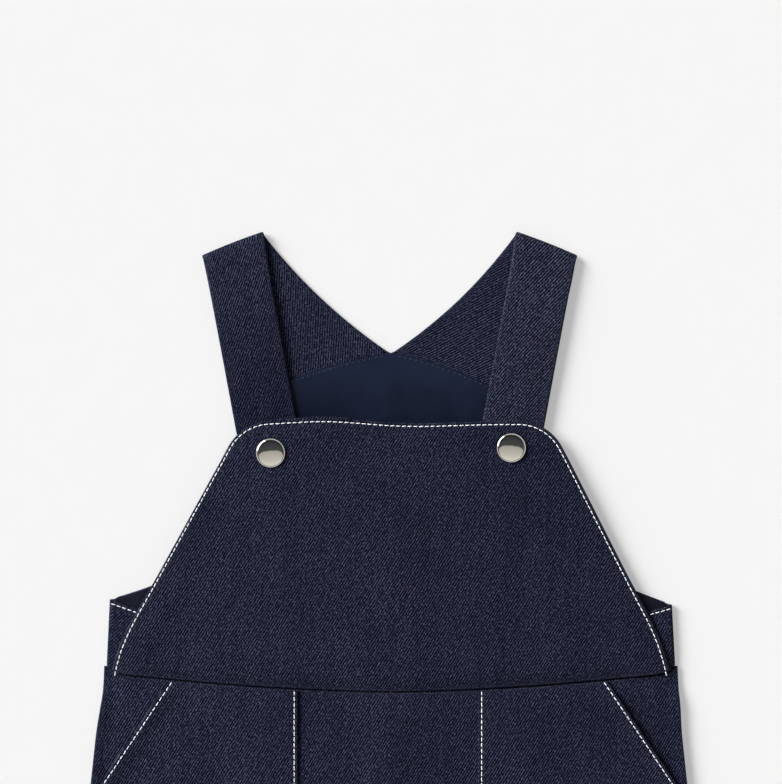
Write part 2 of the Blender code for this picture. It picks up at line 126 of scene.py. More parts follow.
# %% Curves that the panels share
def ease(value):
    """0 below 0, 1 above 1, and a smooth step between."""
    value = np.clip(value, 0.0, 1.0)
    return value * value * (3 - 2 * value)


def swell(value, middle, width):
    """1 at the middle, and smoothly down to nothing about two widths away."""
    return np.exp(-(((value - middle) / width) ** 2))


def waist_y(x):
    x = np.abs(x)
    turn = np.clip((x - WAIST_TURN_X) / (TROUSER_TOP_HALF - WAIST_TURN_X), 0, 1)
    return WAIST_Y + WAIST_RISE * x + WAIST_BEND * x**2 + WAIST_TURN * turn**2


def back_waist_y(x):
    fall = BACK_WAIST_Y - waist_y(TROUSER_TOP_HALF)
    return BACK_WAIST_Y - fall * (x / TROUSER_TOP_HALF) ** 2


def neck_seam_y(x):
    return NECK_Y - NECK_FALL * np.abs(x) - NECK_BEND * x**2


def bib_top_y(x):
    """The top edge waves: it stands up a little on the left and sinks past the middle."""
    return BIB_TOP_Y + 1.7 * MM * swell(x, -0.035, 0.024) - 0.8 * MM * swell(x, 0.011, 0.024)


def bib_half(y):
    straight = BIB_TOP_HALF + math.tan(BIB_FLARE) * (BIB_TOP_Y - y)
    spread = BIB_SPREAD * ease((0.152 - y) / 0.022)
    return straight + spread - BIB_CURVE * np.clip(BIB_CURVE_Y - y, 0, None) ** 2


def bib_lean(y):
    """The bib lies a little askew, so its middle moves right with height."""
    return BIB_LEAN * (np.clip(y, BIB_LEAN_FROM, BIB_LEAN_TO) - BIB_LEAN_FROM)


def neck_skew(x):
    """How much lower the neck seam lies at a place on the right, or higher on the left."""
    return NECK_SKEW * x * np.minimum(np.abs(x), ARMHOLE_TOP_X)


def askew(x, y):
    """The back lies a little higher on the left, at its sides and at the neck."""
    at_side = SIDE_ASKEW * np.sign(x) * (x / SIDE_TOP_HALF) ** 4 * ease((y - 0.108) / 0.026)
    return y - at_side - neck_skew(x) * ease((y - 0.150) / 0.075)


def armhole_x(y):
    top_y = neck_seam_y(ARMHOLE_TOP_X)
    share = np.clip((top_y - y) / (top_y - SIDE_TOP_Y), 0, 1)
    return ARMHOLE_TOP_X + (SIDE_TOP_HALF - ARMHOLE_TOP_X) * share**ARMHOLE_POWER


def armhole_y(x):
    top_y = neck_seam_y(ARMHOLE_TOP_X)
    share = np.clip((x - ARMHOLE_TOP_X) / (SIDE_TOP_HALF - ARMHOLE_TOP_X), 0, 1)
    return top_y - (top_y - SIDE_TOP_Y) * share ** (1 / ARMHOLE_POWER)


SILHOUETTE = (
    # height, half width of the trousers, in millimetres
    (106.3, 140.8),
    (94.8, 141.3),
    (86.0, 142.4),
    (50.3, 146.2),
    (10.0, 150.1),
    (-45.0, 152.9),
    (-130.0, 153.4),
    (-320.0, 150.0),
)


def trouser_half(y, side=0):
    """Below the waist the trousers lie about a millimetre further to the left."""
    heights, halves = zip(*SILHOUETTE[::-1])
    sway = TROUSER_SWAY * ease((WAIST_Y - y) / 0.022) * ease((y + 0.050) / 0.080)
    return np.interp(y / MM, heights, halves) * MM + side * sway


def inner_x(y, seam=0.0):
    share = np.clip((CROTCH_Y - y) / (CROTCH_Y - HEM_Y), 0, 1)
    return seam + (LEG_GAP_HALF - seam) * share**0.80


def pocket_mouth_x(y, side):
    return POCKET_MOUTH[0] + side * POCKET_SHIFT + POCKET_SLANT * (POCKET_MOUTH[1] - y)


print(f"bib's foot is {2 * bib_half(0.103) / MM:.0f} mm wide")

# %% [markdown]
# ## Creases
#
# A crease is a soft ridge, or a trough, along a straight line. It rises and falls like a bell
# across the line and fades out at both ends. Listing creases in a table keeps them easy to
# move: the main folds lift the whole trouser front, and the fine ones only dent its face.


# %% Creases as tables
def creases(table, x, y):
    """Sum of soft ridges (up) and troughs (down). Each row of a table is a line from one
    point to another, its half width and its height, in millimetres."""
    total = np.zeros_like(x)
    for x0, y0, x1, y1, half_width, height in np.array(table) * MM:
        length = math.hypot(x1 - x0, y1 - y0)
        along = ((x - x0) * (x1 - x0) + (y - y0) * (y1 - y0)) / length
        across = ((x - x0) * (y1 - y0) - (y - y0) * (x1 - x0)) / length
        run = min(0.015, length / 3)
        taper = ease(along / run / 2 + 0.5) * ease((length - along) / run / 2 + 0.5)
        total += height * taper * swell(across, 0, half_width)
    return total


MAIN_FOLDS = (
    # from x, from y, to x, to y, half width, height
    (-2.0, 90, -3, -70, 9.0, 0.8),
    (38, 88, 37, -60, 18.0, -0.7),
    (12, -70, 66, -52, 9.0, 1.0),
    (-12, -72, -70, -46, 9.0, 0.9),
    (20, -100, 82, -128, 10.0, 0.9),
    (-22, -104, -78, -140, 10.0, 1.0),
    (100, -120, 112, -292, 13.0, 1.1),
    (-96, -110, -116, -280, 13.0, 1.1),
    (64, -190, 58, -312, 11.0, 0.8),
    (-62, -205, -66, -314, 11.0, 0.9),
)

FINE_FOLDS = (
    # from x, from y, to x, to y, half width, height
    (-30, 88, -33, 20, 5.0, 0.22),
    (28, 86, 25, 34, 4.0, 0.18),
    (36, 60, 38, -20, 6.0, -0.25),
    (-38, 40, -36, -40, 5.0, 0.25),
    (6, -78, 24, -88, 3.0, -0.35),
    (-6, -79, -22, -92, 3.0, -0.30),
    (8, -92, 30, -120, 4.0, 0.35),
    (-9, -96, -34, -131, 4.5, 0.35),
    (40, -60, 92, -58, 6.0, 0.30),
    (-44, -64, -98, -70, 6.0, 0.35),
    (86, -150, 80, -240, 7.0, -0.35),
    (-84, -160, -90, -250, 7.0, -0.40),
    (124, -60, 130, -160, 6.0, 0.30),
    (-126, -70, -130, -150, 6.0, 0.28),
    (46, -246, 50, -310, 5.0, 0.30),
    (-48, -262, -44, -312, 5.0, 0.30),
    (110, -226, 104, -306, 6.0, 0.28),
    (-106, -236, -100, -308, 6.0, 0.28),
)
print(f"trouser front: {len(MAIN_FOLDS)} main folds and {len(FINE_FOLDS)} fine ones")

# %% [markdown]
# ## How high each layer lies
#
# Laid flat, a garment is a stack. The back rests on the table, the lining lies in it, the
# strap ends and the side pieces lie on that, and the bib covers them all, a little higher
# where it has more under it. These functions give the height of the underside of each layer,
# so that nothing passes through its neighbour.


# %% Heights of the layers
def seam_rise(x, y):
    """The side seams stand a little off the table, as the seam inside them is thick."""
    from_side = trouser_half(y, np.sign(x)) - np.abs(x)
    below_waist = waist_y(x) - y
    return SIDE_SEAM_RISE * (1 - ease(from_side / 0.009)) * ease((below_waist - 0.006) / 0.014)


def front_height(x, y):
    """Underside of the trouser front, low at its seams and hollow between."""
    from_side = trouser_half(y, np.sign(x)) - np.abs(x)
    from_inseam = np.abs(x) - inner_x(y) + np.clip(y - CROTCH_Y, 0, None)
    from_waist = waist_y(x) - y
    loft = ease(from_side / 0.012) * ease(from_inseam / 0.012) * ease(from_waist / 0.010)
    return CLOTH + GAP + seam_rise(x, y) + loft * (1.2 * MM + creases(MAIN_FOLDS, x, y))


def side_height(y):
    return SIDE_LOW + (SIDE_HIGH - SIDE_LOW) * ease((y - 0.104) / 0.012)


def bib_height(x, y):
    """Underside of the bib: it rises from the waist onto the lining and then the straps, and
    its edges lie over the side pieces and stand up a little above them."""
    on_lining = (LINING + 2 * GAP) * ease((y - waist_y(x)) / 0.008)
    chest = 0.3 * MM * ease((y - 0.110) / 0.030)
    on_straps = DOUBLED * ease((y - 0.165) / 0.030)
    dip = -0.5 * MM * ease((y - 0.190) / 0.030) * swell(x, 0, 0.030)
    from_edge = bib_half(y) - np.abs(x)
    lift = 0.8 * MM * ease((0.020 - from_edge) / 0.020) * swell(y, 0.165, 0.022)
    base = CLOTH + GAP + on_lining + chest + on_straps + dip + lift
    over_side = ease((0.024 - from_edge) / 0.012) * (1 - ease((y - 0.140) / 0.025))
    lifted = side_height(y) + CLOTH + GAP
    return base + over_side * np.clip(lifted - base, 0, None)


def strap_height(y):
    above_bib = ease((y - BIB_TOP_Y) / 0.030)
    middle = (BIB_TOP_Y + SHOULDER_Y) / 2 + 0.004
    return STRAP_FOLD_HEIGHT + STRAP_ARCH * above_bib * swell(y, middle, 0.026)


peak = float(bib_height(np.array(0.0588), np.array(0.2132)) + DOUBLED)
print(f"bib's face under a snap cap is {peak / MM:.1f} mm off the table")

# %% [markdown]
# ## Grids of points
#
# Each panel starts as a grid of points on the cloth's middle surface. Rows run from edge to
# edge and bend gradually from the curve at the foot to the one at the head, and they stand
# closer together near an edge, where the cloth turns. Every point also gets a place on the
# cloth itself, in metres, so that the weave has its real size on every piece.


# %% Rows, grids and the cloth's own coordinates
NEAR_EDGE = np.array([0, 0.5, 1.0, 1.5, 2.0, 2.6, 3.4, 4.6, 6.2]) * MM
WEAVE_ANGLE = 58.0


def shares(width, columns, both=True):
    """Where the columns of a row stand, close together at its outer edge or at both."""
    near = NEAR_EDGE / width
    if both:
        middle = np.linspace(near[-1], 1 - near[-1], columns - 2 * len(near) + 2)
        return np.concatenate([near, middle[1:-1], 1 - near[::-1]])
    middle = np.linspace(0, 1 - near[-1], columns - len(near) + 1)
    return np.concatenate([middle[:-1], 1 - near[::-1]])


def near_ends(low, high, step, at_low=True, at_high=True):
    """Heights of rows from low to high, close together near the ends that are edges."""
    start = low + NEAR_EDGE if at_low else np.array([low])
    end = high - NEAR_EDGE[::-1] if at_high else np.array([high])
    count = max(2, int((end[0] - start[-1]) / step) + 1)
    return np.concatenate([start, np.linspace(start[-1], end[0], count)[1:-1], end])


def panel_plan(rows, columns, foot, head, both=True):
    """Rows from edge to edge that bend from the foot's curve to the head's."""
    plan = np.zeros((len(rows), columns, 2))
    for i, (x0, y0, x1, y1, headward) in enumerate(rows):
        share = shares(x1 - x0, columns, both)
        x = x0 + (x1 - x0) * share
        y = y0 + (y1 - y0) * share
        for curve, weight in ((foot, 1 - headward), (head, headward)):
            chord = curve(x0) + (curve(x1) - curve(x0)) * share
            y = y + weight * (curve(x) - chord)
        plan[i] = np.stack([x, y], axis=1)
    return plan


def flat_curve(x):
    return np.zeros_like(np.asarray(x, float))


def mirrored(grid, side):
    if side > 0:
        return grid
    grid = grid[:, ::-1].copy()
    grid[..., 0] *= -1
    return grid


def grain(x, y, twill_angle):
    """Cloth coordinates that make the weave's diagonal run at an angle in the plan."""
    turn = math.radians(WEAVE_ANGLE - twill_angle)
    u = x * math.cos(turn) - y * math.sin(turn)
    v = x * math.sin(turn) + y * math.cos(turn)
    return np.stack([u, v], axis=-1)


print(f"rows and columns crowd within {NEAR_EDGE[-1] / MM:.1f} mm of an edge")

# %% [markdown]
# ## A wall of cloth
#
# The shell helper moves the grid's points out to both faces and closes the wall with a rounded
# rim, because a turned edge rolls over and never ends in a sharp corner. Points beside the rim
# are first drawn in, by less the further away they are, which leaves room for the roll. A
# solidify modifier would give a square edge and stretch the weave round it.


# %% The rounded shell
RIM_ANGLES = [math.radians(a) for a in (55, 20, -20, -55)]
RIM_SAMPLE = 0.4 * MM
SAME_POINT = 1e-6


def new_piece(name, points, faces, material, uv=None, smooth=True):
    """A mesh in the scene, with the cloth's coordinates of each face's corners if given."""
    mesh = bpy.data.meshes.new(name)
    mesh.from_pydata(np.asarray(points, float).tolist(), [], faces)
    if uv is not None:
        mesh.uv_layers.new(name="cloth").data.foreach_set("uv", uv.reshape(-1))
    mesh.materials.append(material)
    if smooth:
        mesh.shade_smooth()
    piece = bpy.data.objects.new(name, mesh)
    bpy.context.scene.collection.objects.link(piece)
    return piece


def join_grids(grids, *maps):
    """Points of all the grids with shared ones joined, the same of their maps, and quads."""
    points = np.concatenate([grid.reshape(-1, 3) for grid in grids])
    quads, start = [], 0
    for grid in grids:
        rows, columns = grid.shape[:2]
        a = (np.arange(rows - 1)[:, None] * columns + np.arange(columns - 1) + start).reshape(-1)
        quads.append(np.stack([a, a + 1, a + 1 + columns, a + columns], axis=1))
        start += rows * columns
    _, first, same = np.unique(np.round(points / SAME_POINT), axis=0, return_index=True,
                               return_inverse=True)
    maps = [np.concatenate([grid.reshape(-1, 2) for grid in group])[first] for group in maps]
    return points[first], maps, same.reshape(-1)[np.concatenate(quads)]


def normals_and_rim(points, quads):
    """Normals, the edges that have one face, and the way out of the panel along them."""
    corners = points[quads]
    face_normal = np.cross(corners[:, 2] - corners[:, 0], corners[:, 3] - corners[:, 1])
    normal, outward = np.zeros_like(points), np.zeros_like(points)
    for k in range(4):
        np.add.at(normal, quads[:, k], face_normal)
    normal /= np.linalg.norm(normal, axis=1, keepdims=True)
    edges = np.concatenate([quads[:, [k, (k + 1) % 4]] for k in range(4)])
    code = edges[:, 0] * len(points) + edges[:, 1]
    reverse = edges[:, 1] * len(points) + edges[:, 0]
    rim_edges = edges[~np.isin(code, reverse)]
    run = points[rim_edges[:, 1]] - points[rim_edges[:, 0]]
    for end in rim_edges.T:
        np.add.at(outward, end, np.cross(run, normal[end]))
    length = np.linalg.norm(outward, axis=1, keepdims=True)
    return normal, rim_edges, outward / np.where(length > 0, length, 1)


def drawn_in(points, rim_edges, outward, radius):
    """The points, moved in beside the rim to leave room for its roll."""
    samples = []
    for a, b in rim_edges:
        run = points[b] - points[a]
        count = 1 + max(1, int(np.linalg.norm(run) / RIM_SAMPLE))
        for share in np.linspace(0, 1, count):
            turn = outward[a] + (outward[b] - outward[a]) * share
            samples.append((*(points[a] + run * share), *turn))
    samples = np.array(samples)
    tree = KDTree(len(samples))
    for i, row in enumerate(samples):
        tree.insert(row[:3], i)
    tree.balance()
    moved = points.copy()
    for i, point in enumerate(points):
        _, found, away = tree.find(point)
        if away < 6 * radius:
            moved[i] -= samples[found, 3:] * radius * math.exp(-away / (1.5 * radius))
    return moved


def shell(name, grids, wall, face_uv, back_uv, material, relief=None, sewn_in=None):
    """A closed wall round grids of middle points. The two maps are the cloth's coordinates
    on the face and on the back, and relief(x, y) is what sewing adds to the face. An edge
    is marked as rubbed, except where sewn_in(x, y) says that it is in a seam."""
    points, (uv, uv_back), quads = join_grids(grids, face_uv, back_uv)
    count, radius = len(points), wall / 2
    normal, rim_edges, outward = normals_and_rim(points, quads)
    on_rim = np.unique(rim_edges)
    middle = drawn_in(points, rim_edges, outward, radius)
    lift = np.zeros(count)
    if relief:
        lift = relief(middle[:, 0], middle[:, 1])
        lift[on_rim] = 0
    layers = [middle + normal * (radius + lift[:, None]), middle - normal * radius]
    centre = points[on_rim] - outward[on_rim] * radius
    for angle in RIM_ANGLES:
        reach = outward[on_rim] * radius * math.cos(angle)
        layers.append(centre + reach + normal[on_rim] * radius * math.sin(angle))
    everything = np.concatenate(layers)

    place = np.zeros(count, int)
    place[on_rim] = np.arange(len(on_rim))
    chain = [rim_edges]
    for k in range(len(RIM_ANGLES)):
        chain.append(2 * count + k * len(on_rim) + place[rim_edges])
    chain.append(rim_edges + count)
    inward = np.zeros_like(uv)
    centre_uv = uv[quads].mean(axis=1)
    for k in range(4):
        np.add.at(inward, quads[:, k], centre_uv - uv[quads[:, k]])
    inward /= np.maximum(np.linalg.norm(inward, axis=1, keepdims=True), 1e-9)
    steps = np.linspace(0, math.pi * radius, len(chain))
    rim_uv = [uv[rim_edges] - inward[rim_edges] * step for step in steps]
    faces = [quads, quads[:, ::-1] + count]
    maps = [uv[quads], uv_back[quads[:, ::-1]]]
    for parts, strips in ((faces, chain), (maps, rim_uv)):
        for upper, lower in zip(strips, strips[1:]):
            parts.append(np.stack([upper[:, 1], upper[:, 0], lower[:, 0], lower[:, 1]], axis=1))
    faces = np.concatenate(faces)

    piece = new_piece(name, everything, faces.tolist(), material, np.concatenate(maps))
    edge = np.zeros(len(everything))
    edge[2 * count:] = 1.0
    edge[on_rim] = 0.7
    if sewn_in:
        edge[sewn_in(everything[:, 0], everything[:, 1])] = 0.0
    piece.data.attributes.new("edge", "FLOAT", "POINT").data.foreach_set("value", edge)
    print(f"{name}: {len(faces) * 2} triangles")
    return piece


def laid(name, plans, heights, wall, twill, material, relief=None, sewn_in=None):
    """A flat panel: plans, the height of the underside over each, and the twill's slant."""
    middles, maps, back_maps = [], [], []
    for plan, height in zip(plans, heights):
        x, y = plan[..., 0], plan[..., 1]
        middles.append(np.dstack([plan, height + np.full(x.shape, wall / 2)]))
        maps.append(grain(x, y, twill))
        back_maps.append(grain(-x, y, twill))
    return shell(name, middles, wall, maps, back_maps, material, relief, sewn_in)


print(f"a rim rolls over {len(RIM_ANGLES)} rings of points")


# %% [markdown]
# ## Paths for the sewing
#
# A row of top-stitching follows an edge at a set distance. It pulls the layers together, so
# the cloth dips along it and stands up as a bead between the thread and the edge. The same
# path is used twice: once to press the groove into the panel, and once to lay the stitches.


# %% Resampled paths, insets and grooves
def run_along(path):
    """How far along the path each of its points is."""
    return np.concatenate([[0], np.cumsum(np.linalg.norm(np.diff(path, axis=0), axis=1))])


def resample(path, step):
    path = np.asarray(path, float)
    run = run_along(path)
    wanted = np.linspace(0, run[-1], max(2, int(round(run[-1] / step)) + 1))
    return np.stack([np.interp(wanted, run, path[:, k]) for k in range(path.shape[1])], axis=1)


def inset(path, distance):
    """The path moved to its right-hand side. The distance may be a list, spread along it."""
    path = resample(path, 0.5 * MM)
    run = np.linspace(0, 1, len(path))
    distance = np.interp(run, np.linspace(0, 1, len(np.atleast_1d(distance))),
                         np.atleast_1d(distance))[:, None]
    along = np.gradient(path, axis=0)
    along /= np.linalg.norm(along, axis=1, keepdims=True)
    kernel = np.ones(9) / 9
    padded = np.pad(along, ((4, 4), (0, 0)), mode="edge")
    along = np.stack([np.convolve(padded[:, k], kernel, mode="valid") for k in range(2)], axis=1)
    return path + np.stack([along[:, 1], -along[:, 0]], axis=1) * distance


def nearest(path, x, y):
    """Distance from the points to the path, and how far along it they are."""
    path = resample(path, 1.4 * MM)
    best = np.full(x.shape, 1.0)
    along = np.zeros(x.shape)
    run = 0.0
    for a, b in zip(path[:-1], path[1:]):
        step = b - a
        length = math.hypot(*step)
        share = ((x - a[0]) * step[0] + (y - a[1]) * step[1]) / length**2
        share = np.clip(share, 0, 1)
        away = np.hypot(x - a[0] - share * step[0], y - a[1] - share * step[1])
        closer = away < best
        best = np.where(closer, away, best)
        along = np.where(closer, run + share * length, along)
        run += length
    return best, along


def groove(paths, x, y, depth=0.34 * MM, half_width=0.56 * MM):
    """The dip that stitching presses into the cloth, deeper at every hole."""
    total = np.zeros_like(x)
    for path in paths:
        away, along = nearest(path, x, y)
        holes = 0.80 - 0.20 * np.cos(2 * math.pi * along / STITCH)
        total = np.minimum(total, -depth * holes * swell(away, 0, half_width))
    return total


STITCH = 2.82 * MM
EDGE_TO_STITCH = 1.7 * MM
BIB_EDGE_TO_STITCH = np.array([2.0, 1.3, 1.3, 1.5, 1.7, 1.7, 1.8, 1.8, 2.3]) * MM


def bib_corner(steps):
    """Half widths and heights round the top corner, from the straight side to the top."""
    centre_x = bib_half(BIB_STRAIGHT_TOP) - BIB_CORNER * math.cos(BIB_FLARE)
    return [(centre_x + BIB_CORNER * math.cos(angle),
             BIB_TOP_Y - BIB_CORNER * (1 - math.sin(angle)))
            for angle in np.linspace(BIB_FLARE, math.pi / 2, steps)[1:]]


def bib_outline():
    """Up the left side of the bib, round its corners, and down the right."""
    right = [(bib_half(y), y) for y in np.linspace(0.1030, BIB_STRAIGHT_TOP, 60)]
    right = np.array(right + bib_corner(14))
    end = right[-1][0]
    x = np.linspace(-end, end, 60)[1:-1]
    chord = bib_top_y(-end) + (bib_top_y(end) - bib_top_y(-end)) * (x + end) / (2 * end)
    top = np.stack([x, BIB_TOP_Y + bib_top_y(x) - chord], axis=1)
    return np.concatenate([right * (-1, 1), top, right[::-1]])


BIB_SEWING = inset(bib_outline(), BIB_EDGE_TO_STITCH)
print(f"bib's row of stitches is {len(resample(BIB_SEWING, STITCH))} stitches long")

# %% [markdown]
# ## Denim
#
# Denim is a twill: blue warp threads lie over white weft threads, one step further on each
# row, so the cloth shows fine diagonal lines with flecks of white between them. The lines are
# 1.2 mm apart here. They could be an image, but worked out from the cloth's own coordinates
# they stay sharp and keep their size and slant on every piece. Uneven yarn gives the flecks
# and the faint streaks along the warp, and folded edges are rubbed a little lighter.


# %% Small helpers for materials
def new_material(name, roughness, metallic=0.0, specular=0.5):
    material = bpy.data.materials.new(name)
    material.use_nodes = True
    shader = material.node_tree.nodes["Principled BSDF"]
    shader.inputs["Roughness"].default_value = roughness
    shader.inputs["Metallic"].default_value = metallic
    shader.inputs["Specular IOR Level"].default_value = specular
    return material, material.node_tree, shader


def add(tree, kind, settings=None, **values):
    """A node with its settings, and with its sockets set or linked."""
    node = tree.nodes.new(kind)
    for key, value in (settings or {}).items():
        setattr(node, key, value)
    for key, value in values.items():
        socket = node.inputs[int(key[1:])] if key[0] == "i" and key[1:].isdigit() else None
        socket = socket or node.inputs[key.replace("_", " ").title()]
        if isinstance(value, bpy.types.NodeSocket):
            tree.links.new(value, socket)
        else:
            socket.default_value = value
    return node


def maths(tree, operation, first, second=0.0, third=0.0):
    node = add(tree, "ShaderNodeMath", {"operation": operation}, i0=first, i1=second, i2=third)
    return node.outputs[0]


def cloth_place(tree, turn=0.0, scale=(1, 1, 1)):
    """The cloth's coordinates in metres, turned and then scaled."""
    uv = add(tree, "ShaderNodeUVMap", {"uv_map": "cloth"})
    turned = add(tree, "ShaderNodeMapping", {"vector_type": "POINT"}, i0=uv.outputs[0],
                 i2=(0, 0, turn))
    return add(tree, "ShaderNodeMapping", {"vector_type": "POINT"}, i0=turned.outputs[0],
               i3=scale).outputs[0]


def noise(tree, place, detail=2.0, roughness=0.5):
    node = add(tree, "ShaderNodeTexNoise", {"noise_dimensions": "2D"}, i0=place)
    node.inputs["Scale"].default_value = 1.0
    node.inputs["Detail"].default_value = detail
    node.inputs["Roughness"].default_value = roughness
    return node.outputs[0]


def stretch(tree, value, low, high, to_low=0.0, to_high=1.0):
    node = add(tree, "ShaderNodeMapRange", None, i0=value, i1=low, i2=high, i3=to_low, i4=to_high)
    return node.outputs[0]


def patches(tree, scale, detail, span, turn=0.0):
    """Noise on the cloth, stretched over a span: from low and high, to low and high."""
    return stretch(tree, noise(tree, cloth_place(tree, turn, (*scale, 1)), detail), *span)


def mixed(tree, amount, first, second):
    node = add(tree, "ShaderNodeMix", {"data_type": "RGBA"}, i0=amount, i6=first, i7=second)
    return node.outputs[2]


def coat(tree, shader, colour, height, strength, depth):
    """Give the surface its own colour, and a relief that is too fine to model."""
    tree.links.new(colour, shader.inputs["Base Color"])
    bump = add(tree, "ShaderNodeBump", None, Strength=strength, Distance=depth, Height=height)
    tree.links.new(bump.outputs[0], shader.inputs["Normal"])


# %% [markdown]
# The twill itself is a row of fine lines, a cosine across the cloth sharpened by a power.
# Noise stretched along the lines breaks them into flecks, and finer noise adds sparks where a
# white weft thread stands up. A second noise, long in the warp's direction, gives its streaks.
# The same lines give the bump, so that the light catches the cloth where its weft lies.

# %% The twill
TWILL_PITCH = 1.18 * MM


def make_denim(name, dark, cool, warm, fall=(1.0, 1.0), fade=(1.0, 1.0)):
    """Dark warp between broken lines of weft, which is cooler in some places than in others.
    The fall is painted light and shade along a strap: how bright it is near its end and near
    its fold. The fade is painted light falling off across a panel: how bright it is at its left
    and at its right."""
    material, tree, shader = new_material(name, roughness=0.86, specular=0.04)
    turn = -math.radians(WEAVE_ANGLE)
    across = add(tree, "ShaderNodeSeparateXYZ", None, i0=cloth_place(tree, turn)).outputs[1]
    wander = noise(tree, cloth_place(tree, turn, (90, 220, 1)))
    shift = maths(tree, "MULTIPLY", maths(tree, "SUBTRACT", wander, 0.5), 0.14 * MM)
    phase = maths(tree, "MULTIPLY", maths(tree, "ADD", across, shift), 2 * math.pi / TWILL_PITCH)
    wave = maths(tree, "MULTIPLY_ADD", maths(tree, "COSINE", phase), 0.5, 0.5)
    line = maths(tree, "POWER", wave, 2.6)
    flecks = patches(tree, (820, 1000), 1.0, (0.32, 0.70), turn)
    sparks = patches(tree, (900, 1300), 0.0, (0.64, 0.80), turn)
    slubs = patches(tree, (60, 600), 2.0, (0.3, 0.7, 0.84, 1.16), turn)
    weft = maths(tree, "MULTIPLY", line, maths(tree, "MULTIPLY_ADD", flecks, 0.70, 0.19))
    weft = maths(tree, "MULTIPLY_ADD", sparks, 0.50, maths(tree, "MULTIPLY", weft, slubs))
    rub = patches(tree, (700, 700), 1.0, (0.45, 0.62))
    edge = add(tree, "ShaderNodeAttribute", {"attribute_name": "edge"}).outputs["Fac"]
    amount = maths(tree, "MULTIPLY", maths(tree, "POWER", edge, 2.0), rub)
    amount = maths(tree, "MULTIPLY_ADD", amount, 0.14, weft)
    run = add(tree, "ShaderNodeSeparateXYZ", None, i0=cloth_place(tree)).outputs
    # The first two tones are the yarn's own. The fall and the fade are painted light and shade.
    for tone in (patches(tree, (420, 14), 2.0, (0.3, 0.7, 0.88, 1.12)),
                 patches(tree, (30, 30), 3.0, (0.3, 0.7, 0.90, 1.10)),
                 stretch(tree, run[1], 0.040, 0.122, *fall),
                 stretch(tree, run[0], -0.12, 0.12, *fade)):
        amount = maths(tree, "MULTIPLY", amount, tone)
    light = mixed(tree, patches(tree, (210, 210), 1.0, (0.36, 0.64)), cool, warm)
    height = maths(tree, "MULTIPLY_ADD", flecks, 0.35, wave)
    coat(tree, shader, mixed(tree, amount, dark, light), height, 0.5, 0.12 * MM)
    shader.inputs["Sheen Weight"].default_value = 0.012
    shader.inputs["Sheen Roughness"].default_value = 0.5
    return material


INDIGO = (0.0019, 0.0026, 0.0107, 1)
COOL = (0.0680, 0.0808, 0.1385, 1)
WARM = (0.0780, 0.0799, 0.1343, 1)
# The panels' denim gets painted light, brighter at the left and darker towards the right.
DENIM = make_denim("denim twill", INDIGO, COOL, WARM, fade=(1.04, 0.76))
FACING_DENIM = make_denim("denim twill inside the straps", INDIGO, COOL, WARM)
# The left strap's face has painted shade near its end under the bib and painted light near its
# fold.
SHADED_LEFT_STRAP_DENIM = make_denim("denim twill of the left strap, with painted shade", INDIGO, COOL, WARM, fall=(0.62, 1.24))
# The right strap's face is a copy of the denim with painted light, brighter all over, and a little
# painted shade near its end.
LIT_RIGHT_STRAP_DENIM = make_denim("denim twill with painted light, on the right strap", (0.0022, 0.0026, 0.0094, 1),
                          (0.0960, 0.1110, 0.1860, 1), (0.1080, 0.1100, 0.1798, 1), (0.88, 1.0))
print("denim: lines", TWILL_PITCH / MM, "mm apart")

# %% [markdown]
# ## Lining, thread and metal
#
# The lining is plain, close-woven cotton, almost without texture, a little smoother and bluer
# than the denim. The thread is a thick white twist. The snap caps are polished nickel, and look
# right only when there is something dark and something light for them to mirror.


# %% Lining, threads and nickel
def make_lining_cloth(name, dark, light, fall):
    """Plain cloth. The fall is painted shade: how much darker it is below the peak of the neck,
    where the bib's top edge is, with painted light as much at the peak.
    """
    material, tree, shader = new_material(name, roughness=0.80, specular=0.14)
    threads = noise(tree, cloth_place(tree, 0.0, (2400, 900, 1)), 1.0)
    amount = maths(tree, "MULTIPLY_ADD", threads, 0.45,
                   patches(tree, (45, 45), 3.0, (0.3, 0.7, 0.0, 0.6)))
    height = add(tree, "ShaderNodeSeparateXYZ", None, i0=cloth_place(tree)).outputs[1]
    # Painted shade near the bib's top edge, and painted light towards the peak of the neck.
    amount = maths(tree, "ADD", amount, stretch(tree, height, 0.230, 0.254, -fall, fall))
    warp = add(tree, "ShaderNodeTexWave", {"bands_direction": "X"},
               i0=cloth_place(tree, 0.0, (450, 450, 1)), Scale=1.0, Distortion=0.6)
    coat(tree, shader, mixed(tree, amount, dark, light), warp.outputs[1], 0.25, 0.04 * MM)
    return material


def make_thread(name, dark, light):
    material, tree, shader = new_material(name, roughness=0.62, specular=0.25)
    twist = add(tree, "ShaderNodeTexWave", {"bands_direction": "DIAGONAL"},
                i0=cloth_place(tree), Scale=900.0, Distortion=1.2).outputs[1]
    coat(tree, shader, mixed(tree, twist, dark, light), twist, 0.25, 0.04 * MM)
    return material


def make_nickel():
    material, tree, shader = new_material("polished nickel", roughness=0.09, metallic=1.0)
    place = add(tree, "ShaderNodeTexCoord").outputs["Object"]
    haze = add(tree, "ShaderNodeTexNoise", None, i0=place, Scale=420.0, Detail=3.0).outputs[0]
    tree.links.new(stretch(tree, haze, 0.35, 0.75, 0.03, 0.06), shader.inputs["Roughness"])
    tone = mixed(tree, haze, (0.70, 0.68, 0.63, 1), (0.77, 0.75, 0.71, 1))
    coat(tree, shader, tone, haze, 0.03, 0.02 * MM)
    return material


# The lining in the neck has painted shade by the bib's top edge.
LINING_CLOTH = make_lining_cloth("navy lining", (0.0030, 0.0052, 0.0168, 1),
                                 (0.0080, 0.0130, 0.0345, 1), 0.34)
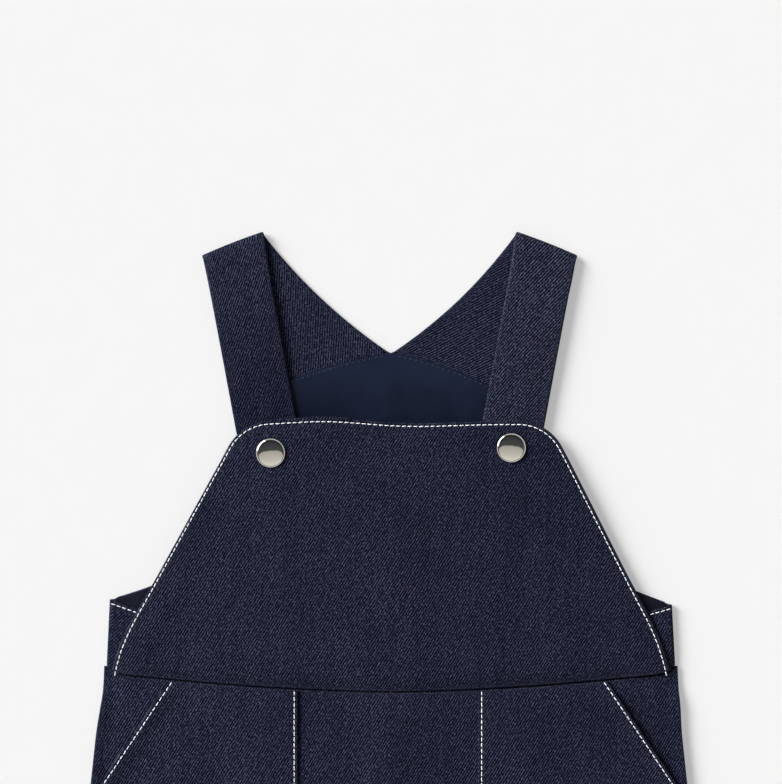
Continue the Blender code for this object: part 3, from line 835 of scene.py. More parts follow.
# A darker copy of the lining, with painted shade, for the notches under the bib's edges.
SHADED_LINING = make_lining_cloth("navy lining with painted shade at the sides", (0.0022, 0.0024, 0.0060, 1),
                                  (0.0092, 0.0104, 0.0240, 1), 0.0)
WHITE_THREAD = make_thread("white thread", (0.90, 0.92, 0.96, 1), (0.98, 0.99, 1.0, 1))
NAVY_THREAD = make_thread("navy thread", (0.016, 0.021, 0.040, 1), (0.040, 0.050, 0.082, 1))
NICKEL = make_nickel()
print("materials:", ", ".join(sorted(material.name for material in bpy.data.materials)))

# %% [markdown]
# ## The bib
#
# The bib is two layers of denim, sewn right sides together, turned out and edge-stitched, so
# it is the stiffest part and lies nearly flat, with a rolled edge. It swells slightly between
# the waist seam and the chest, and faint waves run down it. Its grid follows the waist seam at
# the foot and the slightly wavy top edge at the head.

# %% Make the bib
BIB_WAVES = (
    # from x, from y, to x, to y, half width, height
    (-48, 104, -56, 205, 10.0, 0.50),
    (-28, 106, -33, 210, 15.0, 0.32),
    (7, 104, 5, 208, 11.0, 0.42),
    (52, 104, 46, 205, 14.0, 0.40),
    (86, 104, 74, 176, 12.0, 0.34),
    (-88, 104, -74, 170, 8.0, 0.18),
    (-100, 112, 100, 110, 6.0, 0.28),
    (-58, 200, -90, 158, 5.0, 0.20),
    (66, 196, 96, 150, 5.0, -0.18),
    (-40, 214, 34, 213, 6.0, -0.16),
)


def bib_face(x, y):
    """What the stitching, the faint waves and the turn into the waist seam add to the face."""
    turned_in = -0.30 * MM * swell(y, waist_y(x), 2.4 * MM)
    return groove([BIB_SEWING], x - bib_lean(y), y) + creases(BIB_WAVES, x, y) + turned_in


def bib_rows():
    foot_y = waist_y(BIB_FOOT_HALF) + HALF_GAP + BIB_FOOT_UP
    heights = near_ends(foot_y, BIB_STRAIGHT_TOP, 2.0 * MM, at_high=False)[1:]
    edges = [(BIB_FOOT_HALF, foot_y), *((bib_half(y), y) for y in heights), *bib_corner(18)]
    tall = BIB_TOP_Y - foot_y
    return [(-half, y, half, y, (y - foot_y) / tall) for half, y in edges]


plan = panel_plan(bib_rows(), 118, waist_y, bib_top_y)
underside = bib_height(plan[..., 0], plan[..., 1])
plan[..., 0] += bib_lean(plan[..., 1])
bib = laid("bib_cloth", [plan], [underside], DOUBLED, 58, DENIM, bib_face)

# %% [markdown]
# ## Back and lining
#
# The back of the bodice lies face down on the table and rises to a shallow peak at the neck.
# The lining covers its inside and shows below the peak and in the notch at each side, with
# painted shade in its colour by the bib's top edge and in the notches. It is laid a little
# slack, so it has a few very shallow waves of its own.


# %% Make the back of the bodice and its lining
LINING_FOOT_HALF = 134.5 * MM
LINING_MARGIN = 1.2 * MM
LINING_WAVES = (
    # from x, from y, to x, to y, half width, height
    (-30, 252, -36, 226, 7.0, 0.22),
    (4, 254, 10, 226, 8.0, -0.10),
    (34, 248, 38, 224, 6.0, 0.18),
    (-60, 200, 60, 196, 12.0, 0.15),
)
SEWN = -0.28 * MM


def panel_to_neck(foot, foot_half, widest, margin, step, columns):
    """A plan up to the neck seam, no wider than its limit, and a margin inside the armhole."""
    def head(x):
        return neck_seam_y(x) - SEWN
    heights = near_ends(foot(foot_half), head(ARMHOLE_TOP_X - margin), step)
    tall = heights[-1] - heights[0]
    rows = []
    for y in heights:
        half = min(widest, float(armhole_x(y)) - margin)
        rows.append((-half, y, half, y, (y - heights[0]) / tall))
    plan = panel_plan(rows, columns, foot, head)
    plan[..., 1] = askew(plan[..., 0], plan[..., 1])
    return plan


def bodice_foot(x):
    return back_waist_y(x) + HALF_GAP


def lining_foot(x):
    return 0.1110 + 0.0065 * (x / LINING_FOOT_HALF) ** 2


def at_neck_seam(x, y):
    return np.abs(y - neck_seam_y(x) + neck_skew(x)) < 1.3 * MM


plan = panel_to_neck(bodice_foot, SIDE_SEAM_X, SIDE_SEAM_X - HALF_GAP, 0.0, 4.0 * MM, 60)
back_bodice = laid("back_bodice_cloth", [plan], [0.0], CLOTH, 58, DENIM, sewn_in=at_neck_seam)
plan = panel_to_neck(lining_foot, LINING_FOOT_HALF, LINING_FOOT_HALF, LINING_MARGIN, 2.5 * MM, 80)
lining = laid("lining_cloth", [plan], [CLOTH + GAP], LINING, 58, LINING_CLOTH,
              lambda x, y: creases(LINING_WAVES, x, y))
# The lining's faces at the sides, in the notches, get the copy with painted shade.
lining.data.materials.append(SHADED_LINING)
for face in lining.data.polygons:
    face.material_index = int(abs(face.center.x) > 95 * MM)

# %% [markdown]
# ## Side pieces
#
# Under each arm the back wraps round to the front, where it slips under the edge of the bib.
# Its top edge is turned and stitched in white. One row of the grid runs from the seam at the
# back, round the fold, to the front, so the fold is truly round and the cloth stays one wall.


# %% Make the side pieces
def side_edge(x):
    return SIDE_TOP_Y - SIDE_SLOPE * (SIDE_TOP_HALF - x)


def side_middle():
    """A row for each height: along the back, round the fold and under the bib's edge."""
    rows, maps = [], []
    low_y = waist_y(TROUSER_TOP_HALF)
    tall = SIDE_TOP_Y - low_y
    for share in near_ends(0, tall, 1.5 * MM) / tall:
        fold_x = SIDE_FOOT_HALF + (SIDE_TOP_HALF - SIDE_FOOT_HALF) * share
        fold_y = low_y + tall * share
        radius = side_height(fold_y) / 2
        centre_x = fold_x - radius - CLOTH / 2
        row = []
        for x in np.linspace(SIDE_SEAM_X + HALF_GAP, centre_x, 14)[:-1]:
            y = bodice_foot(x)
            row.append((x, y + (armhole_y(x) - y) * share, CLOTH / 2))
        for angle in np.linspace(-math.pi / 2, math.pi / 2, 13):
            x = centre_x + radius * math.cos(angle)
            row.append((x, fold_y, CLOTH / 2 + radius * (1 + math.sin(angle))))
        under_bib = bib_half(fold_y - 0.003) - 9.0 * MM
        for x in np.linspace(centre_x, under_bib, 22)[1:]:
            foot_y = waist_y(x) + HALF_GAP
            y = foot_y + (side_edge(x) - foot_y) * share
            row.append((x, y, side_height(y) + CLOTH / 2))
        row = np.array(row)
        maps.append(np.stack([-run_along(row[:, [0, 2]]), row[:, 1]], axis=1))
        rows.append(row)
    return np.array(rows), np.array(maps)


def side_path(side):
    """The stitches of a side piece, from its fold to under the bib."""
    x = np.linspace(137.4, 116.0, 12) * MM
    y = side_edge(x) - EDGE_TO_STITCH
    return np.stack([side * x, askew(side * x, y)], axis=1)


def side_face(side):
    """The groove on the part of the piece that lies on the front."""
    return lambda x, y: groove([side_path(side)], x, y, depth=0.18 * MM)


sides = []
for (label, side), twill in zip(LEFT_AND_RIGHT, (47, 60)):
    middle, cloth_map = side_middle()
    cloth_map = grain(cloth_map[..., 0] * side, cloth_map[..., 1], twill)[:, ::side]
    middle = mirrored(middle, side)
    middle[..., 1] = askew(middle[..., 0], middle[..., 1])
    sides.append(shell(f"side_{label}_cloth", [middle], CLOTH, [cloth_map], [cloth_map], DENIM,
                       side_face(side)))

# %% [markdown]
# ## Straps
#
# Each strap is cut in one with the shoulder of the back: wide where it is sewn to the bodice,
# narrow at the front, doubled and turned. It folds over at the shoulder and goes down behind
# the corner of the bib. A strap is a ribbon, so its grid simply follows that way and bends
# round the fold, standing a few millimetres off the back where it lies loose.


# %% Make the straps
FOLD_INNER = np.array([62.2, 320.6]) * MM
FOLD_OUTER = np.array([91.8, 309.0]) * MM
FOLD_FLARE = 0.5 * MM
FOLD_BULGE = 0.4 * MM
STRAP_SHIFT = -0.6 * MM
STRAP_NARROWING = 0.9 * MM
STRAP_LEAN = math.radians(10.5)
NECKLINE_SAG = 3.6 * MM
ARMHOLE_SAG = 4.0 * MM


def strap_middle(side):
    """Rows across a strap: up its front, round the fold, and down to the seam at the neck."""
    fold = (FOLD_OUTER - FOLD_INNER) / np.linalg.norm(FOLD_OUTER - FOLD_INNER)
    away = np.array([-fold[1], fold[0]])
    radius = STRAP_FOLD_HEIGHT / 2
    shift = np.array([side * STRAP_SHIFT, 0.0]) - away * (radius + DOUBLED / 2)
    inner, outer = FOLD_INNER + shift, FOLD_OUTER + shift
    down = np.array([-math.sin(STRAP_LEAN), -math.cos(STRAP_LEAN)])
    share = shares(float(np.linalg.norm(outer - inner)), 30)[:, None]
    bulge = away * FOLD_BULGE * 4 * share * (1 - share)
    rows = []
    for run in 1 - near_ends(0, 1.0, 1.0 / 80, at_high=False)[:-1]:
        ends = [corner + down * (corner[1] - STRAP_END_Y) / math.cos(STRAP_LEAN) * run
                for corner in (inner, outer)]
        ends[0] = ends[0] + fold * STRAP_NARROWING * (1 - (1 - run) ** 12)
        ends[1] = ends[1] + fold * FOLD_FLARE * (1 - run) ** 8
        plan = ends[0] + (ends[1] - ends[0]) * share + bulge * (1 - run) ** 4
        rows.append(np.column_stack([plan, strap_height(plan[:, 1]) + DOUBLED / 2]))
    outer = outer + fold * FOLD_FLARE
    base = inner + (outer - inner) * share + bulge
    for angle in np.linspace(math.pi / 2, -math.pi / 2, 15):
        height = np.full(len(share), DOUBLED / 2 + radius * (1 + math.sin(angle)))
        rows.append(np.column_stack([base + away * radius * math.cos(angle), height]))
    neck = np.array([HALF_GAP, neck_seam_y(0.0) + SEWN])
    arm = np.array([ARMHOLE_TOP_X, neck_seam_y(ARMHOLE_TOP_X) + SEWN])
    for run in np.linspace(0, 1, 60)[1:]:
        ends = []
        for start, end, sag in ((inner, neck, NECKLINE_SAG), (outer, arm, ARMHOLE_SAG)):
            chord = end - start
            beside = np.array([chord[1], -chord[0]]) / np.linalg.norm(chord)
            ends.append(start + chord * run - beside * sag * 4 * run * (1 - run))
        share = shares(float(np.linalg.norm(ends[1] - ends[0])), 30)[:, None]
        plan = ends[0] + (ends[1] - ends[0]) * share
        plan = plan + away * FOLD_BULGE * 4 * share * (1 - share) * (1 - run) ** 4
        x = plan[:, 0]
        chord = neck_seam_y(x[0]) + (neck_seam_y(x[-1]) - neck_seam_y(x[0])) * share[:, 0]
        plan[:, 1] += run**2 * (neck_seam_y(x) - chord - side * neck_skew(x))
        rows.append(np.column_stack([plan, np.full(len(share), DOUBLED / 2)]))
    return np.array(rows)


def ribbon_map(grid):
    """Distances across and along a ribbon, as the cloth's coordinates."""
    half = grid.shape[1] // 2
    along = np.repeat(run_along(grid[:, half])[:, None], grid.shape[1], axis=1)
    across = np.array([run_along(row) for row in grid])
    return across - across[:, half][:, None], along


straps = []
for (label, side), facing, cloth in zip(LEFT_AND_RIGHT, (87, 27), (SHADED_LEFT_STRAP_DENIM, LIT_RIGHT_STRAP_DENIM)):
    middle = mirrored(strap_middle(side), side)
    outer_map = grain(*ribbon_map(middle), 58)
    inner_map = grain(middle[..., 0], middle[..., 1], facing)
    piece = shell(f"strap_{label}_cloth", [middle], DOUBLED, [outer_map], [inner_map],
                  FACING_DENIM, sewn_in=at_neck_seam)
    # The faces high on the strap's front get the copy of the denim with painted light and shade.
    piece.data.materials.append(cloth)
    for face in piece.data.polygons:
        face.material_index = int(face.center.z > 2.2 * MM)
    straps.append(piece)

# %% [markdown]
# ## Trousers
#
# No seam shows down the middle of the front, so it is one piece from side to side, and the
# back is two. The front lies on the back with a little air between them, which makes soft
# ridges: one down the middle from the waist, drag lines out of the crotch, and long ones down
# the legs. The hems are turned up and stitched.

# %% Make the trouser front and backs
HEM_TO_STITCH = 9.0 * MM
NEAR_HEM = HEM_TO_STITCH + np.array([-2, -1.2, -0.6, 0, 0.6, 1.2, 2, 3.5]) * MM


def leg_plan(top, side, seam, step, columns):
    """Half of the trousers, from the hem up to the waist seam."""
    inner_top, outer_top = top(0.0) - HALF_GAP, top(TROUSER_TOP_HALF) - HALF_GAP
    long_leg = CROTCH_Y - HEM_Y
    below = np.concatenate([NEAR_EDGE, NEAR_HEM[NEAR_HEM > NEAR_EDGE[-1]]])
    below = np.concatenate([below, np.arange(below[-1] + step, long_leg - step / 2, step)])
    rows = []
    for share in [*(below / long_leg), 1.0]:
        y_in = HEM_Y + long_leg * share
        y_out = HEM_Y + HEM_RISE * (1 - share) + long_leg * share
        rows.append((inner_x(y_in, seam), y_in, trouser_half(y_out, side), y_out, 0.0))
    tall = inner_top - CROTCH_Y
    for share in near_ends(0, tall, step, at_low=False)[1:] / tall:
        y_out = CROTCH_Y + (outer_top - CROTCH_Y) * share
        rows.append((seam, CROTCH_Y + tall * share, trouser_half(y_out, side), y_out, share))
    return mirrored(panel_plan(rows, columns, flat_curve, top, both=seam > 0), side)


def hem_path(side):
    x = np.linspace(inner_x(HEM_Y) + 1.0 * MM, trouser_half(HEM_Y) - 1.0 * MM, 60)
    rise = HEM_RISE * (x - x[0]) / (x[-1] - x[0])
    return np.stack([side * x, HEM_Y + HEM_TO_STITCH + rise], axis=1)


def fine_folds(x, y):
    return creases(FINE_FOLDS, x, y) * ease((waist_y(x) - y) / 0.006)


def front_face(x, y):
    return groove(HEM_SEWING, x, y) + fine_folds(x, y)


HEM_SEWING = [hem_path(side) for _, side in LEFT_AND_RIGHT]
halves = [leg_plan(waist_y, side, 0.0, 2.6 * MM, 62) for _, side in LEFT_AND_RIGHT]
heights = [front_height(plan[..., 0], plan[..., 1]) for plan in halves]
trouser_front = laid("trouser_front_cloth", halves, heights, CLOTH, 58.5, DENIM, front_face)

backs = []
for label, side in LEFT_AND_RIGHT:
    plan = leg_plan(back_waist_y, side, BACK_SEAM_GAP, 5.0 * MM, 40)
    height = seam_rise(plan[..., 0], plan[..., 1])
    backs.append(laid(f"trouser_back_{label}_cloth", [plan], [height], CLOTH, 57, DENIM))

# %% [markdown]
# ## Patch pockets
#
# A patch pocket is caught in the waist seam and the side seam, and stitched down its inner
# edge and along the bottom. Its slanted mouth is only turned and stitched, so it stands off
# the trousers a little, and the rest lies on them and shares their ridges.

# %% Make the pockets
POCKET_WAVES = (
    # from x, from y, to x, to y, half width, height
    (62, 92, 66, 10, 7.0, 0.25),
    (84, 88, 92, 8, 8.0, -0.25),
    (56, 40, 60, -20, 6.0, -0.20),
    (112, 52, 122, -14, 7.0, 0.30),
    (96, 20, 104, -24, 6.0, 0.20),
)
POCKET_GAPE = 1.5 * MM
MOUTH_STITCHES_TOP = 100.8 * MM
INNER_STITCHES_TOP = 95.6 * MM


def mouth_end_y(side):
    """Where the slanted mouth meets the side seam."""
    low, high = 0.0, POCKET_MOUTH[1]
    for _ in range(40):
        middle = (low + high) / 2
        if pocket_mouth_x(middle, side) < trouser_half(middle, side):
            high = middle
        else:
            low = middle
    return high


def pocket_rows(side):
    inner_edge = POCKET_INNER_X + side * POCKET_SHIFT
    end_y = mouth_end_y(side)
    rows = []
    for y in near_ends(POCKET_BOTTOM_Y, end_y, 2.4 * MM, at_high=False):
        left = max(0.0, POCKET_CORNER - (y - POCKET_BOTTOM_Y))
        x_in = inner_edge + POCKET_CORNER - math.sqrt(POCKET_CORNER**2 - left**2)
        rows.append((x_in, y, trouser_half(y, side), y, 0.0))
    top_in = waist_y(inner_edge) - HALF_GAP
    top_out = waist_y(POCKET_MOUTH[0] + side * POCKET_SHIFT) - HALF_GAP
    tall = top_in - end_y
    for share in near_ends(0, tall, 2.2 * MM, at_low=False)[1:] / tall:
        y_out = end_y + (top_out - end_y) * share
        rows.append((inner_edge, end_y + tall * share, pocket_mouth_x(y_out, side), y_out, share))
    return rows


def pocket_height(x, y, side):
    from_mouth = pocket_mouth_x(y, side) - np.abs(x)
    along = ease((y - mouth_end_y(side)) / 0.015) * ease((waist_y(x) - y) / 0.015)
    gape = POCKET_GAPE * along * (1 - ease(from_mouth / 0.012))
    return front_height(x, y) + CLOTH + 0.5 * MM + gape


def pocket_paths(side):
    """The mouth's stitches, and those down the inner edge and along the bottom."""
    mouth = [(pocket_mouth_x(y, side), y)
             for y in np.linspace(MOUTH_STITCHES_TOP, mouth_end_y(side) + 0.002, 40)]
    mouth = inset(np.array(mouth), EDGE_TO_STITCH)
    inner_edge = POCKET_INNER_X + side * POCKET_SHIFT
    corner_y = POCKET_BOTTOM_Y + POCKET_CORNER
    sewn = [(inner_edge, y) for y in np.linspace(INNER_STITCHES_TOP, corner_y, 40)]
    for angle in np.linspace(math.pi, 1.5 * math.pi, 12)[1:]:
        sewn.append((inner_edge + POCKET_CORNER * (1 + math.cos(angle)),
                     corner_y + POCKET_CORNER * math.sin(angle)))
    sewn.append((trouser_half(POCKET_BOTTOM_Y, side) - 1.0 * MM, POCKET_BOTTOM_Y))
    sewn = inset(np.array(sewn), -EDGE_TO_STITCH)
    return [mouth * (side, 1), sewn * (side, 1)]


def pocket_face(side):
    def face(x, y):
        waves = creases(POCKET_WAVES, x * side + (2 * MM if side < 0 else 0), y)
        fade = ease((pocket_mouth_x(y, side) - np.abs(x)) / 0.006)
        sewn = groove(pocket_paths(side), x, y)
        return sewn + waves * fade + np.clip(fine_folds(x, y), 0, None)
    return face


pockets = []
for label, side in LEFT_AND_RIGHT:
    plan = mirrored(panel_plan(pocket_rows(side), 52, flat_curve, waist_y), side)
    height = pocket_height(plan[..., 0], plan[..., 1], side)
    pockets.append(laid(f"pocket_{label}_cloth", [plan], [height], CLOTH, 58.5, DENIM,
                        pocket_face(side)))

# %% [markdown]
# ## Stitches
#
# At this distance top-stitching reads as a row of separate thick dashes, so each stitch is a
# small piece of cord: a capsule that dives into the cloth at both ends. One template is
# repeated along a path with numpy and all the stitches of a seam are joined into one mesh,
# which is lighter than thousands of objects. Each one is turned a few degrees, as a twisted
# thread settles.


# %% Lay stitches along a path
STITCH_FORM = (
    # place along the half length, share of the full width and height
    (-1, 0.30),
    (-0.86, 0.72),
    (-0.5, 1),
    (0, 1),
    (0.5, 1),
    (0.86, 0.72),
    (1, 0.30),
)
STITCH_SIDES = 8
STITCH_LENGTH = 2.25


def stitch_template(length, width, height):
    """One stitch along X, rounded at its ends, which dive into the cloth."""
    points, faces = [], []
    for t, full in STITCH_FORM:
        for k in range(STITCH_SIDES):
            angle = 2 * math.pi * k / STITCH_SIDES
            points.append((t * length / 2, math.cos(angle) * full * width / 2,
                           math.sin(angle) * full * height / 2 - 0.42 * height * t**4))
    last = len(points) - STITCH_SIDES
    for i in range(0, last, STITCH_SIDES):
        for k in range(STITCH_SIDES):
            a, b = i + k, i + (k + 1) % STITCH_SIDES
            faces.append((a, b, b + STITCH_SIDES, a + STITCH_SIDES))
    faces.append(tuple(range(STITCH_SIDES))[::-1])
    faces.append(tuple(range(last, last + STITCH_SIDES)))
    return np.array(points), faces


def sew(name, paths, height_of, thread, length=STITCH_LENGTH, width=0.50, height=0.48):
    """One mesh of all the stitches on the paths. height_of(x, y) is the cloth's face."""
    template, template_faces = stitch_template(length * MM, width * MM, height * MM)
    size = len(template)
    points, faces, maps = [], [], []
    for path in paths:
        path = resample(path, STITCH)
        for a, b in zip(path[:-1], path[1:]):
            total = len(points)
            middle, run = (a + b) / 2, b - a
            z_a, z_b, z = (float(height_of(np.array(p[0]), np.array(p[1]))) for p in (a, b, middle))
            tilt = math.atan2(z_b - z_a, np.linalg.norm(run))
            wobble = math.radians(5.0) * (0.6 + 0.4 * math.sin(total * 2.4))
            heading = math.atan2(run[1], run[0]) + wobble
            cos_h, sin_h = math.cos(heading), math.sin(heading)
            long_side = template[:, 0] * math.cos(tilt)
            x = long_side * cos_h - template[:, 1] * sin_h + middle[0]
            y = long_side * sin_h + template[:, 1] * cos_h + middle[1]
            rise = template[:, 2] + template[:, 0] * math.sin(tilt) + z + height / 2 * MM
            points.append(np.stack([x, y, rise], axis=1))
            faces.extend(tuple(k + total * size for k in face) for face in template_faces)
            maps.append(np.stack([template[:, 0] + total * 5 * MM,
                                  np.arange(size) % STITCH_SIDES * width * 0.4 * MM], axis=1))
    corners = np.array([k for face in faces for k in face])
    print(f"{name}: {len(points)} stitches")
    return new_piece(name, np.concatenate(points), faces, thread, np.concatenate(maps)[corners])


print(f"a stitch is {STITCH_LENGTH} mm long in a step of {STITCH / MM:.2f} mm")

# %% [markdown]
# Each row of stitches needs to know the height of the cloth that it lies on. The small
# functions below add up the layers under it, with the groove that the same row presses.


# %% Sew every row
def on_bib(x, y):
    return bib_height(x - bib_lean(y), y) + DOUBLED + bib_face(x, y)


def on_front(x, y):
    return front_height(x, y) + CLOTH + front_face(x, y)


def on_pocket(x, y):
    side = int(np.sign(x))
    return pocket_height(x, y, side) + CLOTH + pocket_face(side)(x, y)


def on_side(x, y):
    return side_height(y) + CLOTH + side_face(int(np.sign(x)))(x, y)


def on_lining(x, y):
    return CLOTH + GAP + LINING


leaning = np.stack([BIB_SEWING[:, 0] + bib_lean(BIB_SEWING[:, 1]), BIB_SEWING[:, 1]], axis=1)
sewing = {"bib": sew("bib_stitches", [leaning], on_bib, WHITE_THREAD),
          "hem": sew("hem_stitches", HEM_SEWING, on_front, WHITE_THREAD)}
for label, side in LEFT_AND_RIGHT:
    neck_x = side * np.linspace(3.0 * MM, 58.0 * MM, 40)
    neck = np.stack([neck_x, neck_seam_y(neck_x) - neck_skew(neck_x) - 0.9 * MM], axis=1)
    for kind, paths, face in (("pocket", pocket_paths(side), on_pocket),
                              ("side", [side_path(side)], on_side)):
        name = f"{kind}_{label}"
        sewing[name] = sew(f"{name}_stitches", paths, face, WHITE_THREAD)
    sewing[f"neck_{label}"] = sew(f"neck_{label}_stitches", [neck], on_lining, NAVY_THREAD,
                                  length=1.5, width=0.45, height=0.30)

# %% [markdown]
# ## Snap caps
#
# Each cap is a thin nickel shell, spun over a shallow dome with a rolled rim. A profile turned
# round an axis gives that directly: the lathe helper spins the points of the profile and
# closes the surface at its two ends.


# %% Spin the caps
CAP_PROFILE = (
    # radius, height, in millimetres
    (0.0, 0.00),
    (7.2, 0.00),
    (7.48, 0.05),
    (7.45, 0.22),
    (7.32, 0.52),
    (7.16, 0.80),
    (6.99, 1.01),
    (6.85, 1.126),
    (6.60, 1.295),
    (6.20, 1.481),
    (5.50, 1.669),
    (4.00, 1.893),
    (2.00, 2.05),
    (1.00, 2.088),
    (0.0, 2.10),
)
CAP_PLACES = {"left": (-58.8 * MM, 212.0 * MM), "right": (58.8 * MM, 214.5 * MM)}


def spin(name, profile, place, material, sides=72, smooth=True):
    """Turn a profile, in millimetres, round an upright axis."""
    points, faces, rings = [], [], []
    for radius, height in profile:
        count = sides if radius else 1
        rings.append([len(points) + k % count for k in range(sides + 1)])
        for k in range(count):
            angle = 2 * math.pi * k / sides
            points.append((place[0] + radius * MM * math.cos(angle),
                           place[1] + radius * MM * math.sin(angle), place[2] + height * MM))
    for low, high in zip(rings[:-1], rings[1:]):
        for k in range(sides):
            corners = [low[k], low[k + 1], high[k + 1], high[k]]
            faces.append(tuple(dict.fromkeys(corners)))
    return new_piece(name, points, faces, material, smooth=smooth)


caps = []
for label, (x, y) in CAP_PLACES.items():
    base = float(bib_height(np.array(x - bib_lean(y)), np.array(y))) + DOUBLED + GAP
    cap = spin(f"cap_{label}", CAP_PROFILE, (x, y, base), NICKEL)
    smoother = cap.modifiers.new("smooth", "SUBSURF")
    smoother.levels = smoother.render_levels = 1
    caps.append(cap)
print(f"caps are 15 mm wide and stand {base / MM:.1f} mm off the table")

# %% [markdown]
# ## Attach each piece and hide the part that it replaces
#
# Each shell of cloth replaces the plain solid of the same panel, which is hidden. The sewing
# lies on its panels and replaces nothing.


def declare(piece, node):
    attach(piece, "root")
    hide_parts(node)


for piece in sewing.values():
    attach(piece, "root")
declare(bib, "bib")
declare(back_bodice, "back_bodice")
declare(lining, "back_lining")
declare(trouser_front, "trouser_front")
for i, (label, _) in enumerate(LEFT_AND_RIGHT):
    declare(straps[i], f"strap_{label}")
    declare(sides[i], f"side_{label}")
    declare(backs[i], f"trouser_back_{label}")
    declare(pockets[i], f"pocket_{label}")
    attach(caps[i], "root")
    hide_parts(f"button_{label}")

# %% [markdown]
# ## Table, light and camera
#
# The garment lies on a pale, seamless table that glows a little, so its shadows stay pale. The
# snap caps are mirrors, so they get a room of their own that nothing else sees: a ceiling,
# pale near and dark far, and a round wall, pale below and bright at the window.


# %% The table, and a room for the caps to mirror
def plain_plane(name, height, width, length, material):
    x, y = width / 2, length / 2
    corners = [(-x, -y, 0), (x, -y, 0), (x, y, 0), (-x, y, 0)]
    plane = new_piece(name, corners, [(0, 1, 2, 3)], material, smooth=False)
    plane.location.z = height
    return plane


def make_table_top():
    """It glows a little, a painted glow with no lamp under it, so that shadows stay pale."""
    material, tree, shader = new_material("pale table", roughness=0.9, specular=0.0)
    shader.inputs["Emission Color"].default_value = (1, 1, 1, 1)
    shader.inputs["Emission Strength"].default_value = 0.367
    place = add(tree, "ShaderNodeTexCoord").outputs["Object"]
    grainy = add(tree, "ShaderNodeTexNoise", None, i0=place, Scale=60.0, Detail=2.0).outputs[0]
    tone = mixed(tree, grainy, (0.495, 0.495, 0.497, 1), (0.505, 0.505, 0.507, 1))
    tree.links.new(tone, shader.inputs["Base Color"])
    return material


def glowing(name, tone, strength_of):
    """A material that only glows. strength_of(tree) is a socket with its strength."""
    material = bpy.data.materials.new(name)
    material.use_nodes = True
    tree = material.node_tree
    tree.nodes.clear()
    place = add(tree, "ShaderNodeSeparateXYZ", None,
                i0=add(tree, "ShaderNodeTexCoord").outputs["Object"])
    strength, share = strength_of(tree, *place.outputs[:3])
    glow = add(tree, "ShaderNodeEmission", None, Color=mixed(tree, share, *tone),
               Strength=strength)
    output = tree.nodes.new("ShaderNodeOutputMaterial")
    tree.links.new(glow.outputs[0], output.inputs[0])
    return material


def ceiling_glow(tree, x, y, z):
    """Pale near the person who looks, dark beyond a slightly bowed line."""
    bow = maths(tree, "MULTIPLY", maths(tree, "MULTIPLY", x, x), 0.30)
    beyond = maths(tree, "SUBTRACT", maths(tree, "SUBTRACT", bow, y), 0.28)
    dark = stretch(tree, beyond, 0.0, 0.7, 0.085, 0.03)
    pale = stretch(tree, beyond, -0.7, 0.0, 0.82, 0.47)
    share = stretch(tree, beyond, -0.015, 0.015)
    light = maths(tree, "MULTIPLY", pale, maths(tree, "SUBTRACT", 1.0, share))
    return maths(tree, "MULTIPLY_ADD", dark, share, light), share


def wall_glow(tree, x, y, z):
    """Pale below, dim above, and bright at the upper left, where the window is."""
    toward = maths(tree, "MULTIPLY_ADD", x, -0.82, maths(tree, "MULTIPLY", y, 0.57))
    share = stretch(tree, toward, 1.46, 1.58)
    plain = stretch(tree, z, 0.96, 1.04, 0.72, 0.10)
    return maths(tree, "MAXIMUM", plain, maths(tree, "MULTIPLY", share, 3.0)), share


def mirror_only(card):
    card.visible_camera = False
    card.visible_diffuse = False
    card.visible_shadow = False
    card.visible_transmission = False


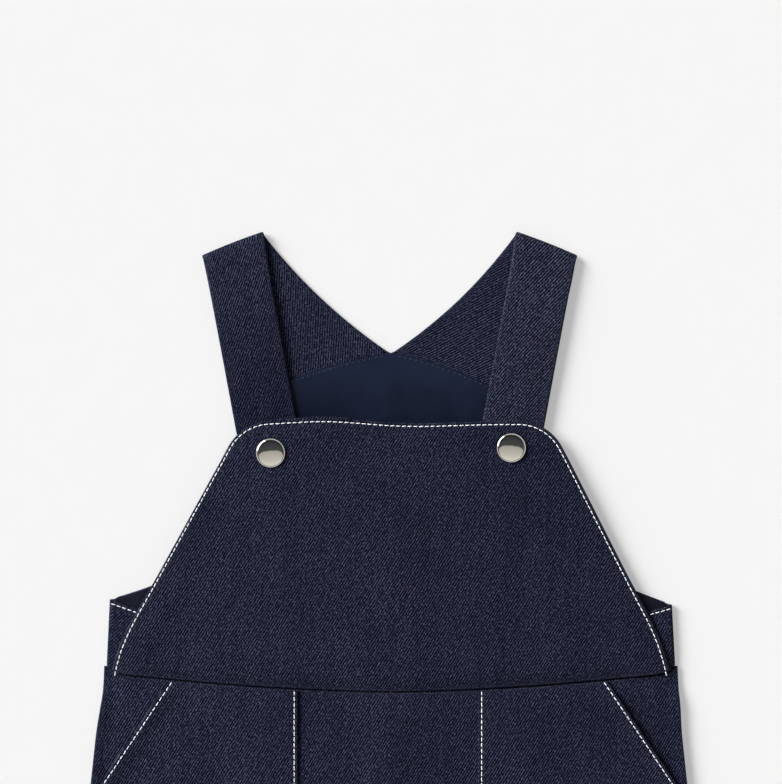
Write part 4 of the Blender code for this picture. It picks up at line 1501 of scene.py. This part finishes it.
WALL_PROFILE = (
    # radius, height, in millimetres
    (1700, 20),
    (1700, 1760),
)
floor = plain_plane("floor", -0.2 * MM, 30.0, 30.0, make_table_top())
ceiling = plain_plane("ceiling", 1.50, 2.4, 3.0,
                      glowing("ceiling", ((1.0, 0.985, 0.90, 1), (0.90, 0.97, 1.0, 1)),
                              ceiling_glow))
ceiling.rotation_euler.x = math.pi
mirror_only(ceiling)
wall = spin("wall", WALL_PROFILE, (0, 0, 0),
            glowing("wall", ((1.0, 0.99, 0.95, 1), (1.0, 1.0, 1.0, 1)), wall_glow),
            sides=64, smooth=False)
wall.location.y = 0.2
mirror_only(wall)
print("stage:", floor.name, ceiling.name, wall.name)

# %% [markdown]
# The main light is a window at the upper left, which draws the shadows to the right, and a
# lower one makes them long and soft at the end. The room adds a little light from all round,
# less from the top of the picture. The camera looks straight down through a long lens, so
# that nothing is foreshortened.

# %% Light and camera
world = bpy.data.worlds.new("soft room")
world.use_nodes = True
room = world.node_tree
direction = add(room, "ShaderNodeTexCoord").outputs["Generated"]
northward = add(room, "ShaderNodeSeparateXYZ", None, i0=direction).outputs[1]
room.nodes["Background"].inputs[0].default_value = (1.0, 1.0, 1.0, 1)
room.links.new(stretch(room, northward, -1.0, 1.0, 0.38, 0.08), room.nodes["Background"].inputs[1])
bpy.context.scene.world = world


def add_lamp(name, energy, size, height, side):
    """A soft lamp far away: its size, its height over the table and its side, in degrees."""
    lamp = bpy.data.lights.new(name, "SUN")
    lamp.energy = energy
    lamp.angle = math.radians(size)
    lamp.color = (1.0, 0.995, 0.985)
    hung = bpy.data.objects.new(name, lamp)
    hung.rotation_euler = (0, math.pi / 2 - math.radians(height), math.radians(side))
    hung.visible_glossy = False
    bpy.context.scene.collection.objects.link(hung)


add_lamp("window", energy=4.27, size=31, height=32, side=152)
add_lamp("low_window", energy=1.63, size=50, height=18, side=158)

lens = bpy.data.cameras.new("camera")
lens.lens = 100.0
lens.sensor_width = 36.0
lens.clip_end = 20.0
camera = bpy.data.objects.new("camera", lens)
VIEW_HEIGHT = 384.2 * MM
camera.location = (0.05 * MM, 241.8 * MM, VIEW_HEIGHT * lens.lens / lens.sensor_width + 4 * MM)
bpy.context.scene.collection.objects.link(camera)
bpy.context.scene.camera = camera
bpy.context.scene.view_settings.view_transform = "Standard"
bpy.context.scene.view_settings.look = "None"
print(f"camera is {camera.location.z:.3f} m above the table")
